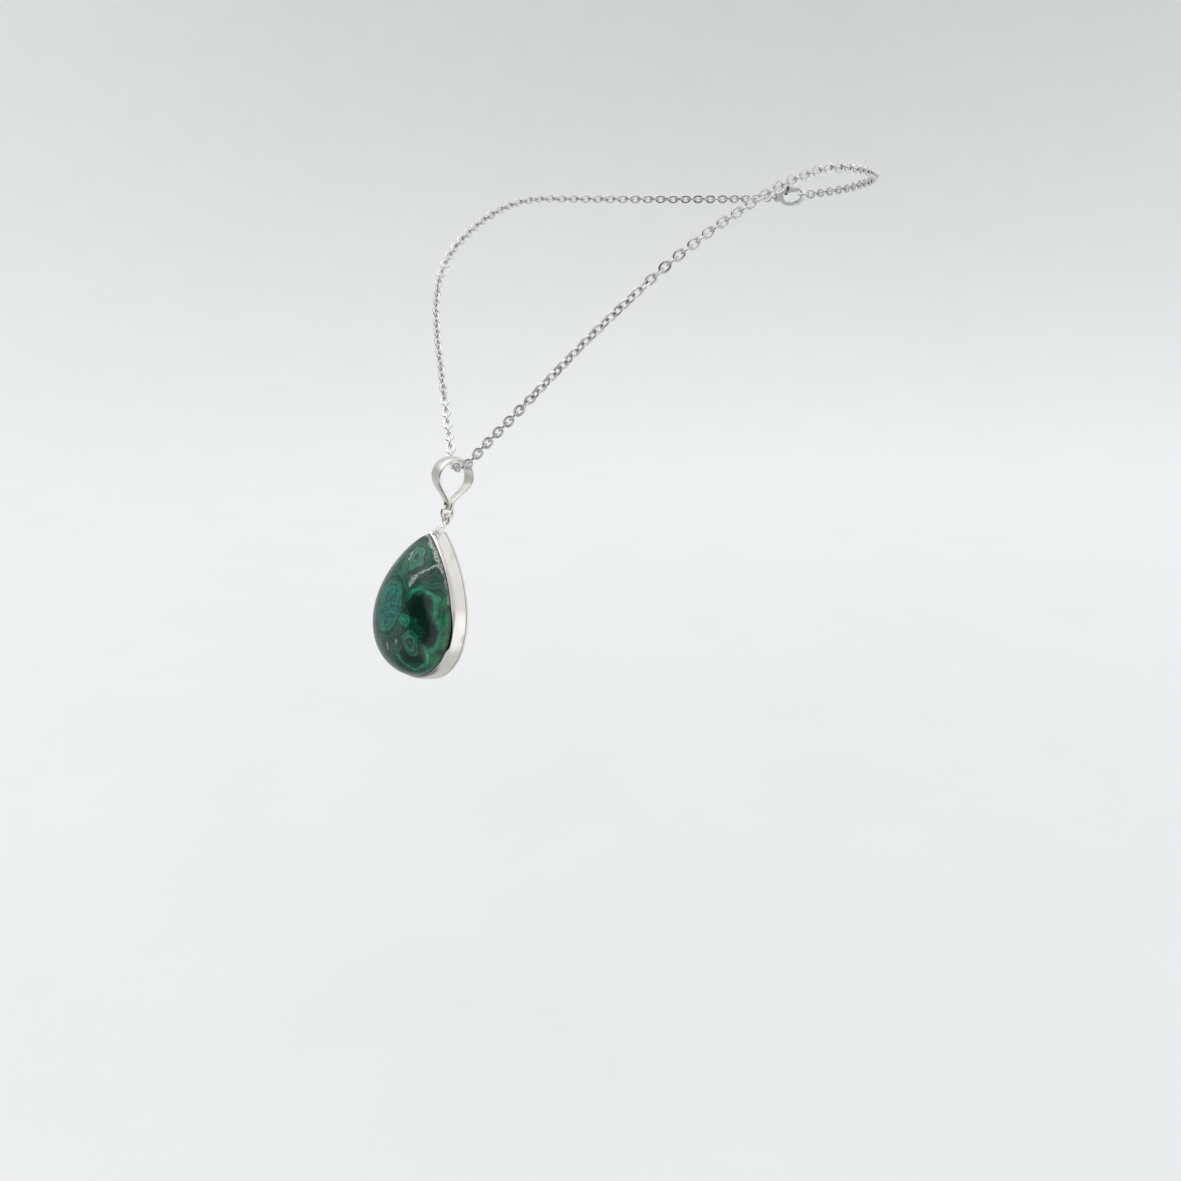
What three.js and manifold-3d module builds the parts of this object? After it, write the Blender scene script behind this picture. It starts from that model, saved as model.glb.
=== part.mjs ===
// Pendant necklace in the shape it takes when worn: a fine oval-link cable chain closed by a lobster clasp at
// the nape, and a pear-shaped cabochon in a bezel setting that hangs from a ribbon bail by one jump ring.
// Millimetres. +Z is up, the pendant faces -Y, and +X is to the right of someone who faces the wearer.
// The origin is the middle of the clasp, where the necklace rests on the back of the neck.
import * as THREE from "three";
import { mergeVertices } from "three/addons/utils/BufferGeometryUtils.js";
import Module from "manifold-3d";

const wasm = await Module();
wasm.setup();

// ---------------------------------------------------------------- driving dimensions

const GAP = 0.1; // between pieces that are soldered or set against each other

// Chain. A link is 3.3 mm long with its neighbours turned a quarter round, so the chain fills a 2.5 mm tube.
const LINK_PITCH = 1.97;
const CHAIN_DIAMETER = 2.5;
const APEX_DIAMETER = 1.7; // the links under the bail lie flat against it
const CHAIN_SIDES = 8;
const CHAIN_STEP = 5;
const CHAIN_GAP = 0.9; // free length between two stretches, where they bend
const END_X = 10.4; // where the last stretch stops beside the clasp

// Right half of the chain's route, from under the bail over the chest and shoulder to the nape.
const ROUTE = [
  [0, -119.9, -64.9],
  [2.5, -119.3, -64.4],
  [8.3, -116.4, -58.6],
  [16.3, -112.1, -50.5],
  [24.3, -107.8, -42.2],
  [32.1, -103.5, -34.1],
  [39.5, -98.5, -26.3],
  [45.8, -92.5, -19],
  [50.6, -84.7, -12.4],
  [54, -75.3, -6.6],
  [56.3, -64.8, -1.7],
  [57.2, -53.3, 1.4],
  [55.9, -41.7, 1.9],
  [50.3, -27.5, 1.7],
  [39, -13, 1.2],
  [24, -3.4, 0.5],
  [END_X, 0, 0],
];

// Last link of each stretch, counted from the link under the bail.
const STRETCHES = [
  ["lower", 11],
  ["middle", 23],
  ["upper", 35],
  ["collar", 47],
  ["shoulder", 71],
];
const APEX_LINKS = 1; // links on each side of the middle one that lie inside the bail

// Bail, in its own leaning frame, whose origin lies inside the top of the loop.
const BAIL_ORIGIN = [0, -120.5, -64.3];
const LEAN = THREE.MathUtils.degToRad(14.5); // the chest's slope, which bail and pendant lie on
const BAIL_TOP = 2.25;
const BAIL_END = -11;
const BAIL_LEAVES = -9.4; // from here down the ribbon's two ends lie together
const BAIL_DEPTH = 10.4;
const BAIL_WIDEST = -2.8;
const BAIL_THICKNESS = 0.8;
const BAIL_WIDTH = 4.4;
const BAIL_END_WIDTH = 2.7;
const BAIL_TOP_FLAT = 0.55; // how far the top runs level, as a share of half the depth
const BAIL_SHOULDER = 2.2; // height over which the bow turns from level to upright
const BAIL_BELLY = -5.7; // the legs run upright down to about here, then turn in
const BAIL_WAIST = { y: 1.9, z: -7.3 }; // and come together past here
const BAIL_INSIDE = 0.5; // how much higher the opening's belly and bottom lie than the outside's
const BAIL_FRONT_BROAD = -1; // full width down to here
const BAIL_FRONT_TAPER = { from: -4.5, to: -6.5 };
const BAIL_HOLE_Z = -9.75;
const BAIL_HOLE_RADIUS = 0.8;

// Jump ring and the setting's eye.
const RING_RADIUS = 1.65;
const RING_WIRE = 0.9;
const RING_Z = BAIL_HOLE_Z - RING_RADIUS - 0.1;
const TURN = THREE.MathUtils.degToRad(6); // the pendant hangs turned a little to its left
const EYE_RADIUS = 1.15;
const EYE_WIRE = 0.8;
const EYE_FOOT_RADIUS = 0.6;

// Setting and stone, in a frame with the jump ring's centre at the origin.
const SETTING_TOP = -4.8;
const SETTING_WIDTH = 28;
const SETTING_HEIGHT = 37;
const PEAR_POWER = 0.68; // how far down the pear its widest place sits
const WALL_THICKNESS = 0.7;
const WALL_FRONT = -4.2;
const PLATE_FRONT = -0.2;
const PLATE_BACK = 0.5;
const DOME_HEIGHT = 9;
const DOME_CENTRE = 0.6; // crown of the dome as a share of the stone's height from its tip
const DOME_SHARES = [0.985, 0.94, 0.86, 0.74, 0.58, 0.4, 0.2]; // widths of the dome's layers
const DOME_SQUARENESS = 2.4;
const DOME_ROUNDNESS = 0.55;
const PEAR_INSET_HEIGHT = 2.2; // an inset outline is lower by this much for each millimetre
const PEAR_INSET_TIP = 1.2; // and its tip is this much lower
const PEAR_POINTS = 48;

// Lobster clasp, lying flat across the nape: X along it, Z across it.
const CLASP_THICKNESS = 2.2;
const CLASP_BODY_LEFT = -3.4;
const CLASP_HALF_LENGTH = 5.6;
const CLASP_HALF_HEIGHT = 2.8;
const CLASP_CURVE_STEPS = 24;
const CLASP_OPENING = { x: 1.55, halfLength: 3.1, halfHeight: 1.75 };
const MOUTH = { from: -0.2, over: 0.5, past: 0.3 }; // the mouth ends just past the lever's tip
const SLOT = { from: -3.2, to: 0.2, over: 0.35, width: 1.24 }; // the lever's root sits in it
const NOSE = { from: 3.4, thickness: 1.4 };
const CLASP_EYE_X = -4.5;
const CLASP_EYE_RADIUS = 1.45;
const CLASP_EYE_HOLE = 0.8;
const LEVER_PIN = [-2.2, 1.5];
const LEVER_PIN_RADIUS = 0.42;
const LEVER_ROOT = 0.85;
const LEVER_TIP = { x: 3.3, under: 0.9, over: 1.9 };
const THUMB_TAB = [
  [0.6, 2.5],
  [0.2, 3.5],
  [-0.5, 3.4],
  [-0.6, 2.6],
];
const LEVER_THICKNESS = 0.7;
const LEVER_Y = -0.12;
const SPRING_RADIUS = 0.9;
const SPRING_WIRE = 0.22;
const SPRING_Y = 0.43;
const HOOK_X = 4; // where the catch ring's wire lies in the hook
const SMALL_RING_RADIUS = 1.65;
const SMALL_RING_WIRE = 0.7;
const END_LINK = { length: 3.4, width: 2.6, wire: 0.6 };

// ---------------------------------------------------------------- materials

const finish = (color, roughness, metalness) =>
  new THREE.MeshStandardMaterial({ color, roughness, metalness });
const MATERIALS = {
  stone: finish(0x0f4d38, 0.12, 0),
  setting: finish(0xe3e0da, 0.18, 1),
  bail: finish(0xd9d6cf, 0.3, 1),
  chain: finish(0xc4c6ca, 0.2, 1),
  clasp: finish(0xd0d2d6, 0.22, 1),
};

// ---------------------------------------------------------------- helpers

function toSolid(geometry) {
  const plain = geometry.clone();
  plain.deleteAttribute("normal");
  plain.deleteAttribute("uv");
  const merged = mergeVertices(plain, 1e-4);
  return new wasm.Manifold(
    new wasm.Mesh({
      numProp: 3,
      vertProperties: merged.attributes.position.array,
      triVerts: new Uint32Array(merged.index.array),
    }),
  );
}

function toGeometry(solid) {
  const { vertProperties, triVerts } = solid.getMesh();
  const geometry = new THREE.BufferGeometry();
  geometry.setAttribute("position", new THREE.BufferAttribute(vertProperties, 3));
  geometry.setIndex(new THREE.BufferAttribute(triVerts, 1));
  geometry.computeVertexNormals();
  return geometry;
}

// A shape drawn in X and Z, extruded along Y and centred on y.
function plateXZ(shape, thickness, y = 0, curveSegments = 10) {
  return new THREE.ExtrudeGeometry(shape, { depth: thickness, bevelEnabled: false, curveSegments })
    .translate(0, 0, -thickness / 2)
    .rotateX(Math.PI / 2)
    .translate(0, y, 0);
}

// A shape drawn in Y and Z, extruded along X and centred on the YZ plane.
function plateYZ(shape, thickness, curveSegments = 10) {
  return new THREE.ExtrudeGeometry(shape, { depth: thickness, bevelEnabled: false, curveSegments })
    .translate(0, 0, -thickness / 2)
    .rotateY(Math.PI / 2)
    .rotateX(Math.PI / 2);
}

// A rod along Y.
function rodY(radius, length, x, y, z) {
  return new THREE.CylinderGeometry(radius, radius, length, 16).translate(x, y, z);
}

// A wire ring whose hole looks along the given axis.
function wireRing(radius, wire, axis) {
  const ring = new THREE.TorusGeometry(radius, wire / 2, 10, 24);
  if (axis === "x") ring.rotateY(Math.PI / 2);
  if (axis === "y") ring.rotateX(Math.PI / 2);
  return ring;
}

function addMesh(group, name, geometry, material) {
  const mesh = new THREE.Mesh(geometry, material);
  mesh.name = name;
  group.add(mesh);
  return mesh;
}

const necklace = new THREE.Group();

// ---------------------------------------------------------------- chain

function chainRoute() {
  const right = ROUTE.map((point) => new THREE.Vector3(...point));
  const left = ROUTE.slice(1)
    .reverse()
    .map(([x, y, z]) => new THREE.Vector3(-x, y, z));
  const curve = new THREE.CatmullRomCurve3([...left, ...right], false, "centripetal");
  curve.arcLengthDivisions = 2000;
  return curve;
}

const CHAIN_ROUTE = chainRoute();
const HALF_CHAIN = CHAIN_ROUTE.getLength() / 2;

// One stretch of chain as a plain tube, between two distances from the middle of the bail.
function chainTube(from, to, diameter = CHAIN_DIAMETER) {
  const steps = Math.max(2, Math.round((to - from) / CHAIN_STEP));
  const points = [];
  for (let i = 0; i <= steps; i++) {
    const distance = from + ((to - from) * i) / steps;
    points.push(CHAIN_ROUTE.getPointAt((HALF_CHAIN + distance) / (2 * HALF_CHAIN)));
  }
  const section = new THREE.Shape();
  for (let i = 0; i < CHAIN_SIDES; i++) {
    const angle = (2 * Math.PI * i) / CHAIN_SIDES;
    const corner = [(diameter / 2) * Math.cos(angle), (diameter / 2) * Math.sin(angle)];
    if (i === 0) section.moveTo(...corner);
    else section.lineTo(...corner);
  }
  return new THREE.ExtrudeGeometry(section, {
    steps,
    bevelEnabled: false,
    extrudePath: new THREE.CatmullRomCurve3(points),
  });
}

function addChain(group) {
  const bend = (lastLink) => (lastLink + 0.5) * LINK_PITCH;
  const apex = bend(APEX_LINKS) - CHAIN_GAP / 2;
  addMesh(group, "chain_apex", chainTube(-apex, apex, APEX_DIAMETER), MATERIALS.chain);
  let from = bend(APEX_LINKS) + CHAIN_GAP / 2;
  const stretches = [...STRETCHES.map(([name, lastLink]) => [name, bend(lastLink)]), ["nape", HALF_CHAIN]];
  for (const [name, end] of stretches) {
    const to = name === "nape" ? end : end - CHAIN_GAP / 2;
    addMesh(group, `chain_right_${name}`, chainTube(from, to), MATERIALS.chain);
    addMesh(group, `chain_left_${name}`, chainTube(-to, -from), MATERIALS.chain);
    from = end + CHAIN_GAP / 2;
  }
}

// ---------------------------------------------------------------- bail

// The ribbon seen from the side: a drop-shaped loop whose two leaves lie together at the bottom.
function bailProfile() {
  const half = BAIL_DEPTH / 2;
  const leaf = BAIL_THICKNESS - 0.05;
  const tab = BAIL_END + leaf;
  const flat = half * BAIL_TOP_FLAT;
  const waist = BAIL_WAIST;
  const outline = new THREE.Shape();
  outline.moveTo(0, BAIL_TOP);
  outline.bezierCurveTo(-flat, BAIL_TOP, -half, BAIL_TOP - BAIL_SHOULDER, -half, BAIL_WIDEST);
  outline.bezierCurveTo(-half, BAIL_BELLY, -waist.y, waist.z, -leaf, BAIL_LEAVES);
  outline.lineTo(-leaf, tab);
  outline.absarc(0, tab, leaf, Math.PI, 2 * Math.PI, false);
  outline.lineTo(leaf, BAIL_LEAVES);
  outline.bezierCurveTo(waist.y, waist.z, half, BAIL_BELLY, half, BAIL_WIDEST);
  outline.bezierCurveTo(half, BAIL_TOP - BAIL_SHOULDER, flat, BAIL_TOP, 0, BAIL_TOP);
  outline.holes.push(bailOpening(half - BAIL_THICKNESS, BAIL_TOP - BAIL_THICKNESS));
  return outline;
}

// The drop-shaped space inside the loop, of this half depth.
function bailOpening(half, top) {
  const flat = half * BAIL_TOP_FLAT;
  const shoulder = top - BAIL_SHOULDER;
  const belly = BAIL_BELLY + BAIL_INSIDE;
  const waist = { y: BAIL_WAIST.y - BAIL_THICKNESS, z: BAIL_WAIST.z + BAIL_THICKNESS };
  const bottom = BAIL_LEAVES + BAIL_INSIDE;
  const opening = new THREE.Path();
  opening.moveTo(0, top);
  opening.bezierCurveTo(flat, top, half, shoulder, half, BAIL_WIDEST);
  opening.bezierCurveTo(half, belly, waist.y, waist.z, 0, bottom);
  opening.bezierCurveTo(-waist.y, waist.z, -half, belly, -half, BAIL_WIDEST);
  opening.bezierCurveTo(-half, shoulder, -flat, top, 0, top);
  return opening;
}

// The ribbon seen from the front: broad over the chain, narrow and round where it ends.
function bailFront() {
  const broad = BAIL_WIDTH / 2;
  const narrow = BAIL_END_WIDTH / 2;
  const round = BAIL_END + narrow;
  const { from, to } = BAIL_FRONT_TAPER;
  const front = new THREE.Shape();
  front.moveTo(-broad, BAIL_TOP + 1);
  front.lineTo(-broad, BAIL_FRONT_BROAD);
  front.bezierCurveTo(-broad, from, -narrow, to, -narrow, round);
  front.absarc(0, round, narrow, Math.PI, 2 * Math.PI, false);
  front.bezierCurveTo(narrow, to, broad, from, broad, BAIL_FRONT_BROAD);
  front.lineTo(broad, BAIL_TOP + 1);
  front.closePath();
  return front;
}

function bailGeometry() {
  const ribbon = toSolid(plateYZ(bailProfile(), BAIL_WIDTH + 1));
  const front = toSolid(plateXZ(bailFront(), BAIL_DEPTH + 2));
  const hole = toSolid(rodY(BAIL_HOLE_RADIUS, BAIL_DEPTH, 0, 0, BAIL_HOLE_Z));
  return toGeometry(ribbon.intersect(front).subtract(hole));
}

// ---------------------------------------------------------------- setting and stone

// A pear outline with its tip at the top, drawn inset by the given amount from the setting's outside. It runs
// counter-clockwise as seen from the front.
function pearPoints(inset) {
  const height = SETTING_HEIGHT - PEAR_INSET_HEIGHT * inset;
  const halfWidth = SETTING_WIDTH / 2 - inset;
  const top = SETTING_TOP - PEAR_INSET_TIP * inset;
  const width = (angle) => Math.sin(angle) * Math.sin(angle / 2) ** PEAR_POWER;
  const widest = width(2 * Math.asin(Math.sqrt((1 + PEAR_POWER) / (2 + PEAR_POWER))));
  const points = [];
  for (let i = 0; i < PEAR_POINTS; i++) {
    const angle = (2 * Math.PI * i) / PEAR_POINTS;
    const x = (-halfWidth * width(angle)) / widest;
    points.push(new THREE.Vector2(x, top - (height * (1 - Math.cos(angle))) / 2));
  }
  return points;
}

function bezelWall() {
  const outline = new THREE.Shape(pearPoints(0));
  outline.holes.push(new THREE.Path(pearPoints(WALL_THICKNESS)));
  const back = PLATE_FRONT - GAP;
  return plateXZ(outline, back - WALL_FRONT, (back + WALL_FRONT) / 2);
}

function backPlate() {
  const thickness = PLATE_BACK - PLATE_FRONT;
  return plateXZ(new THREE.Shape(pearPoints(0)), thickness, (PLATE_BACK + PLATE_FRONT) / 2);
}

// The stone: an upright girdle inside the bezel and a high dome above its rim.
function cabochon() {
  const outline = pearPoints(WALL_THICKNESS + GAP);
  const crownZ = SETTING_TOP - DOME_CENTRE * SETTING_HEIGHT;
  const layers = [
    [1, PLATE_FRONT - 2 * GAP],
    [1, WALL_FRONT],
  ];
  for (const share of DOME_SHARES) {
    layers.push([share, WALL_FRONT - DOME_HEIGHT * (1 - share ** DOME_SQUARENESS) ** DOME_ROUNDNESS]);
  }
  const positions = [];
  for (const [share, y] of layers) {
    for (const point of outline) {
      positions.push(point.x * share, y, crownZ + (point.y - crownZ) * share);
    }
  }
  const count = outline.length;
  const backCentre = positions.length / 3;
  positions.push(0, layers[0][1], crownZ);
  positions.push(0, WALL_FRONT - DOME_HEIGHT, crownZ);
  const faces = [];
  const lastLayer = (layers.length - 1) * count;
  for (let i = 0; i < count; i++) {
    const next = (i + 1) % count;
    for (let layer = 0; layer < layers.length - 1; layer++) {
      const low = layer * count;
      const high = low + count;
      faces.push(low + i, low + next, high + next, low + i, high + next, high + i);
    }
    faces.push(backCentre, next, i);
    faces.push(backCentre + 1, lastLayer + i, lastLayer + next);
  }
  const geometry = new THREE.BufferGeometry();
  geometry.setAttribute("position", new THREE.Float32BufferAttribute(positions, 3));
  geometry.setIndex(faces);
  geometry.computeVertexNormals();
  return geometry;
}

// The loop on the setting's tip: a wire ring and the short stem it is soldered on by.
function bezelEye() {
  const ring = toSolid(wireRing(EYE_RADIUS, EYE_WIRE, "y").translate(0, 0, -RING_RADIUS));
  const stemTop = -RING_RADIUS - EYE_RADIUS;
  const stemEnd = SETTING_TOP + GAP;
  const stem = new THREE.CylinderGeometry(EYE_WIRE / 2, EYE_FOOT_RADIUS, stemTop - stemEnd, 12)
    .rotateX(Math.PI / 2)
    .translate(0, 0, (stemTop + stemEnd) / 2);
  return toGeometry(ring.add(toSolid(stem)));
}

function addPendant(group) {
  const hanging = new THREE.Group();
  hanging.position.set(...BAIL_ORIGIN);
  hanging.rotation.x = -LEAN;
  group.add(hanging);
  addMesh(hanging, "bail", bailGeometry(), MATERIALS.bail);

  const drop = new THREE.Group();
  drop.position.z = RING_Z;
  drop.rotation.z = TURN;
  hanging.add(drop);
  addMesh(drop, "jump_ring", wireRing(RING_RADIUS, RING_WIRE, "x"), MATERIALS.setting);
  addMesh(drop, "bezel_eye", bezelEye(), MATERIALS.setting);
  addMesh(drop, "bezel_wall", bezelWall(), MATERIALS.setting);
  addMesh(drop, "back_plate", backPlate(), MATERIALS.setting);
  addMesh(drop, "cabochon", cabochon(), MATERIALS.stone);
}

// ---------------------------------------------------------------- clasp

function box(xRange, yRange, zRange) {
  const [width, depth, height] = [xRange, yRange, zRange].map(([low, high]) => high - low);
  const [x, y, z] = [xRange, yRange, zRange].map(([low, high]) => (low + high) / 2);
  return toSolid(new THREE.BoxGeometry(width, depth, height).translate(x, y, z));
}

function ellipse(x, halfLength, halfHeight) {
  const shape = new THREE.Shape();
  shape.absellipse(x, 0, halfLength, halfHeight, 0, 2 * Math.PI, false);
  return shape;
}

function claspBody() {
  const past = CLASP_HALF_LENGTH; // cutting boxes and rods reach this far, well past the body
  const middle = (CLASP_BODY_LEFT + CLASP_HALF_LENGTH) / 2;
  const outline = ellipse(middle, CLASP_HALF_LENGTH - middle, CLASP_HALF_HEIGHT);
  const opening = ellipse(CLASP_OPENING.x, CLASP_OPENING.halfLength, CLASP_OPENING.halfHeight);
  const eye = ellipse(CLASP_EYE_X, CLASP_EYE_RADIUS, CLASP_EYE_RADIUS);
  const [pinX, pinZ] = LEVER_PIN;
  const mouth = box([MOUTH.from, LEVER_TIP.x + MOUTH.past], [-past, past], [MOUTH.over, past]);
  const slot = box([SLOT.from, SLOT.to], [-SLOT.width / 2, SLOT.width / 2], [SLOT.over, past]);
  const noseX = [NOSE.from, CLASP_HALF_LENGTH + 1];
  const noseFront = box(noseX, [-past, -NOSE.thickness / 2], [-past, past]);
  const noseBack = box(noseX, [NOSE.thickness / 2, past], [-past, past]);
  return toGeometry(
    toSolid(plateXZ(outline, CLASP_THICKNESS, 0, CLASP_CURVE_STEPS))
      .subtract(toSolid(plateXZ(opening, CLASP_THICKNESS + 1, 0, CLASP_CURVE_STEPS)))
      .add(toSolid(plateXZ(eye, CLASP_THICKNESS / 2)))
      .subtract(toSolid(rodY(CLASP_EYE_HOLE, past, CLASP_EYE_X, 0, 0)))
      .subtract(mouth)
      .subtract(slot)
      .subtract(noseFront)
      .subtract(noseBack)
      .subtract(toSolid(rodY(LEVER_PIN_RADIUS + GAP, past, pinX, 0, pinZ))),
  );
}

// The trigger: a bar that closes the mouth, with a round root on the pin and a thumb tab.
function claspLever() {
  const [pinX, pinZ] = LEVER_PIN;
  const { x, under, over } = LEVER_TIP;
  const tabFoot = THUMB_TAB[0];
  const lever = new THREE.Shape();
  lever.moveTo(pinX, pinZ - LEVER_ROOT);
  lever.bezierCurveTo(pinX / 4, under - 0.1, x / 2, under, x, under);
  lever.lineTo(x, over);
  lever.bezierCurveTo(x - 1.3, over + 0.4, x - 2.1, over + 0.5, ...tabFoot);
  for (const corner of THUMB_TAB.slice(1)) lever.lineTo(...corner);
  lever.lineTo(pinX, pinZ + LEVER_ROOT);
  lever.absarc(pinX, pinZ, LEVER_ROOT, Math.PI / 2, (3 * Math.PI) / 2, false);
  const bar = toSolid(plateXZ(lever, LEVER_THICKNESS, LEVER_Y));
  return toGeometry(bar.subtract(toSolid(rodY(LEVER_PIN_RADIUS + GAP, CLASP_THICKNESS, pinX, 0, pinZ))));
}

// A plain oval link whose long axis is X, lying flat in X and Z.
function ovalLink({ length, width, wire }) {
  const outer = new THREE.Shape();
  const halfLength = (length - width) / 2;
  const radius = width / 2;
  outer.absarc(halfLength, 0, radius, -Math.PI / 2, Math.PI / 2, false);
  outer.absarc(-halfLength, 0, radius, Math.PI / 2, (3 * Math.PI) / 2, false);
  const inner = new THREE.Path();
  inner.absarc(halfLength, 0, radius - wire, -Math.PI / 2, Math.PI / 2, false);
  inner.absarc(-halfLength, 0, radius - wire, Math.PI / 2, (3 * Math.PI) / 2, false);
  outer.holes.push(inner);
  return plateXZ(outer, wire);
}

function addClasp(group) {
  const [pinX, pinZ] = LEVER_PIN;
  addMesh(group, "clasp_body", claspBody(), MATERIALS.clasp);
  addMesh(group, "clasp_lever", claspLever(), MATERIALS.clasp);
  addMesh(group, "clasp_pin", rodY(LEVER_PIN_RADIUS, CLASP_THICKNESS, pinX, 0, pinZ), MATERIALS.clasp);
  const coil = wireRing(SPRING_RADIUS, SPRING_WIRE, "y").translate(pinX, SPRING_Y, pinZ);
  addMesh(group, "clasp_spring", coil, MATERIALS.clasp);

  const rings = [
    ["clasp_ring", "left_end_link", CLASP_EYE_X - 0.15, -1],
    ["catch_ring", "right_end_link", HOOK_X, 1],
  ];
  const linkBeyondRing = END_LINK.length / 2 - END_LINK.wire - GAP - SMALL_RING_WIRE / 2;
  for (const [ringName, linkName, wireX, side] of rings) {
    const ringX = wireX + side * SMALL_RING_RADIUS;
    const ring = wireRing(SMALL_RING_RADIUS, SMALL_RING_WIRE, "z").translate(ringX, 0, 0);
    addMesh(group, ringName, ring, MATERIALS.clasp);
    const linkX = ringX + side * (SMALL_RING_RADIUS + linkBeyondRing);
    addMesh(group, linkName, ovalLink(END_LINK).translate(linkX, 0, 0), MATERIALS.chain);
  }
}

addChain(necklace);
addPendant(necklace);
addClasp(necklace);

export default necklace;
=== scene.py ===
"""Looks for the pendant necklace: real chain links, a cast bail, a burnished bezel round a polished malachite
cabochon, and a lobster clasp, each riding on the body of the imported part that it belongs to.

Shapes are worked out in millimetres, in the part's frame: +Z up, the pendant faces -Y, origin at the clasp.
"""

import math
import random
from bisect import bisect_right
from typing import NamedTuple

import bmesh
import bpy
from mathutils import Matrix, Vector, noise


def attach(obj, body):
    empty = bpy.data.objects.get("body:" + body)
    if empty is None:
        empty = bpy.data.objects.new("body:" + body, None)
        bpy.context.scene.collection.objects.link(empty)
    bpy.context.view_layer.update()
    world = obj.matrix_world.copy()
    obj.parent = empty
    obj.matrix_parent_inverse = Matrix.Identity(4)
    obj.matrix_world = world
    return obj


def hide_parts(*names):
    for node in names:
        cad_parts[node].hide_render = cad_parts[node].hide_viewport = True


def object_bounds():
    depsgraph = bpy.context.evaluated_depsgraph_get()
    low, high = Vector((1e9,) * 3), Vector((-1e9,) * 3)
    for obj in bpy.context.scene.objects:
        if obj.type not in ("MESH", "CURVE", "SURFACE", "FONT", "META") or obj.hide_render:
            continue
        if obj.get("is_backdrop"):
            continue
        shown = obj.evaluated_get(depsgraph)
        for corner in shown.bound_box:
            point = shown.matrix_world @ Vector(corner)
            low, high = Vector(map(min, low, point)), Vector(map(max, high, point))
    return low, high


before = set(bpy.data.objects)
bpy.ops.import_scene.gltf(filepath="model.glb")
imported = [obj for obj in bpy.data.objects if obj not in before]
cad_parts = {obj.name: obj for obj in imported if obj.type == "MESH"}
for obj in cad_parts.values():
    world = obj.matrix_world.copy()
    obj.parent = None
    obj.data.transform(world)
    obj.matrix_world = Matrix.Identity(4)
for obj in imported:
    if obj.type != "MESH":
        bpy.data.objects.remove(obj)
CAD_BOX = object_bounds()
MM = 0.001

# ---------------- driving dimensions, millimetres

# Chain: right half of the route, from under the bail over the chest and shoulder to the nape.
ROUTE = [
    (0, -119.9, -64.9),
    (2.5, -119.3, -64.4),
    (8.3, -116.4, -58.6),
    (16.3, -112.1, -50.5),
    (24.3, -107.8, -42.2),
    (32.1, -103.5, -34.1),
    (39.5, -98.5, -26.3),
    (45.8, -92.5, -19),
    (50.6, -84.7, -12.4),
    (54, -75.3, -6.6),
    (56.3, -64.8, -1.7),
    (57.2, -53.3, 1.4),
    (55.9, -41.7, 1.9),
    (50.3, -27.5, 1.7),
    (39, -13, 1.2),
    (24, -3.4, 0.5),
    (10.4, 0, 0),
]
LINKS_A_SIDE = 99
LAST_LINK_X = {1: 10.0, -1: 10.65}  # the last link on each side hooks into that side's end link
LINK_LENGTH = 3.32
LINK_WIDTH = 2.48
LINK_WIRE = 0.66  # across the flattened face
LINK_THICKNESS = 0.5
LINK_SQUARENESS = 2.25  # of its outline: 2 is an ellipse, and more is squarer
WIRE_SQUARENESS = 2.7  # of the flattened wire's section
# Stretches of the chain: name, last link counted from the bail, and the body that carries it.
STRETCHES = [
    ("lower", 11, "lower"),
    ("middle", 23, "middle"),
    ("upper", 35, "upper"),
    ("collar", 47, "collar"),
    ("shoulder", 71, "shoulders"),
    ("nape", LINKS_A_SIDE, "shoulders"),
]
SLACK_TWIST = math.radians(42)  # how far the chain is twisted on the chest
SLACK_FROM = (10, 16)  # the links over which the twist comes in, and over which it goes out again
SLACK_TO = (38, 30)
LOOSENESS = 5  # degrees that a link may lie askew either way
APEX_LINKS = 1  # on each side, besides the one in the middle
APEX_AT = (0, -119.9, -64.75)
FACING = Vector((0.84, -0.52, 0.17))  # where the flat side of the links near the bail looks

# Bail. Its heights are from its own origin, just above the chain's middle link.
BAIL_ORIGIN = (0, -120.5, -64.3)
LEAN = math.radians(14.5)
BAIL_TOP = 2.25
BAIL_END = -11
BAIL_LEAVES = -9.4
BAIL_DEPTH = 10.4
BAIL_WIDEST = -2.8
BAIL_THICKNESS = 0.8
BAIL_WIDTH = 4.4
BAIL_END_WIDTH = 2.7
BAIL_TOP_FLAT = 0.55  # share of the half depth over which the top stays nearly flat
BAIL_SHOULDER = 2.1
BAIL_BELLY = -5.45
BAIL_WAIST = (-1.55, -6.95)
BAIL_TAPER = (-0.4, -8.6)  # heights between which the ribbon narrows
BAIL_SQUARENESS = 4.5
BAIL_THINNEST = 0.9  # share of the thickness left at the ends
BAIL_EDGE = 0.07
BAIL_HOLE_Z = -9.75
BAIL_HOLE_RADIUS = 0.8

# Jump ring and eye.
RING_RADIUS = 1.65
RING_WIRE = 0.9
RING_Z = BAIL_HOLE_Z - RING_RADIUS - 0.1
RING_SEAM = 0.07  # radians sawn out where it is closed
RING_SEAM_AT = math.radians(200)
TURN = math.radians(6)
EYE_RADIUS = 1.15
EYE_WIRE = 0.8
EYE_STRETCH = 1.06
# Sections of the eye's stem and of the solder at its foot: Y, Z, half width in X, and half width across.
EYE_STEM = [
    (0, -2.55, 0.62, 0.45),
    (-0.35, -3.2, 0.66, 0.55),
    (-1.1, -4.0, 0.78, 0.66),
    (-1.9, -4.75, 1.0, 0.9),
    (-2.2, -5.25, 0.95, 1.25),
]
EYE_SOLDER = [
    (-3.3, -5.1, 0.4, 0.25),
    (-2.6, -5.0, 0.85, 0.42),
    (-1.6, -4.95, 0.9, 0.42),
    (-0.9, -5.05, 0.45, 0.25),
]

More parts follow.
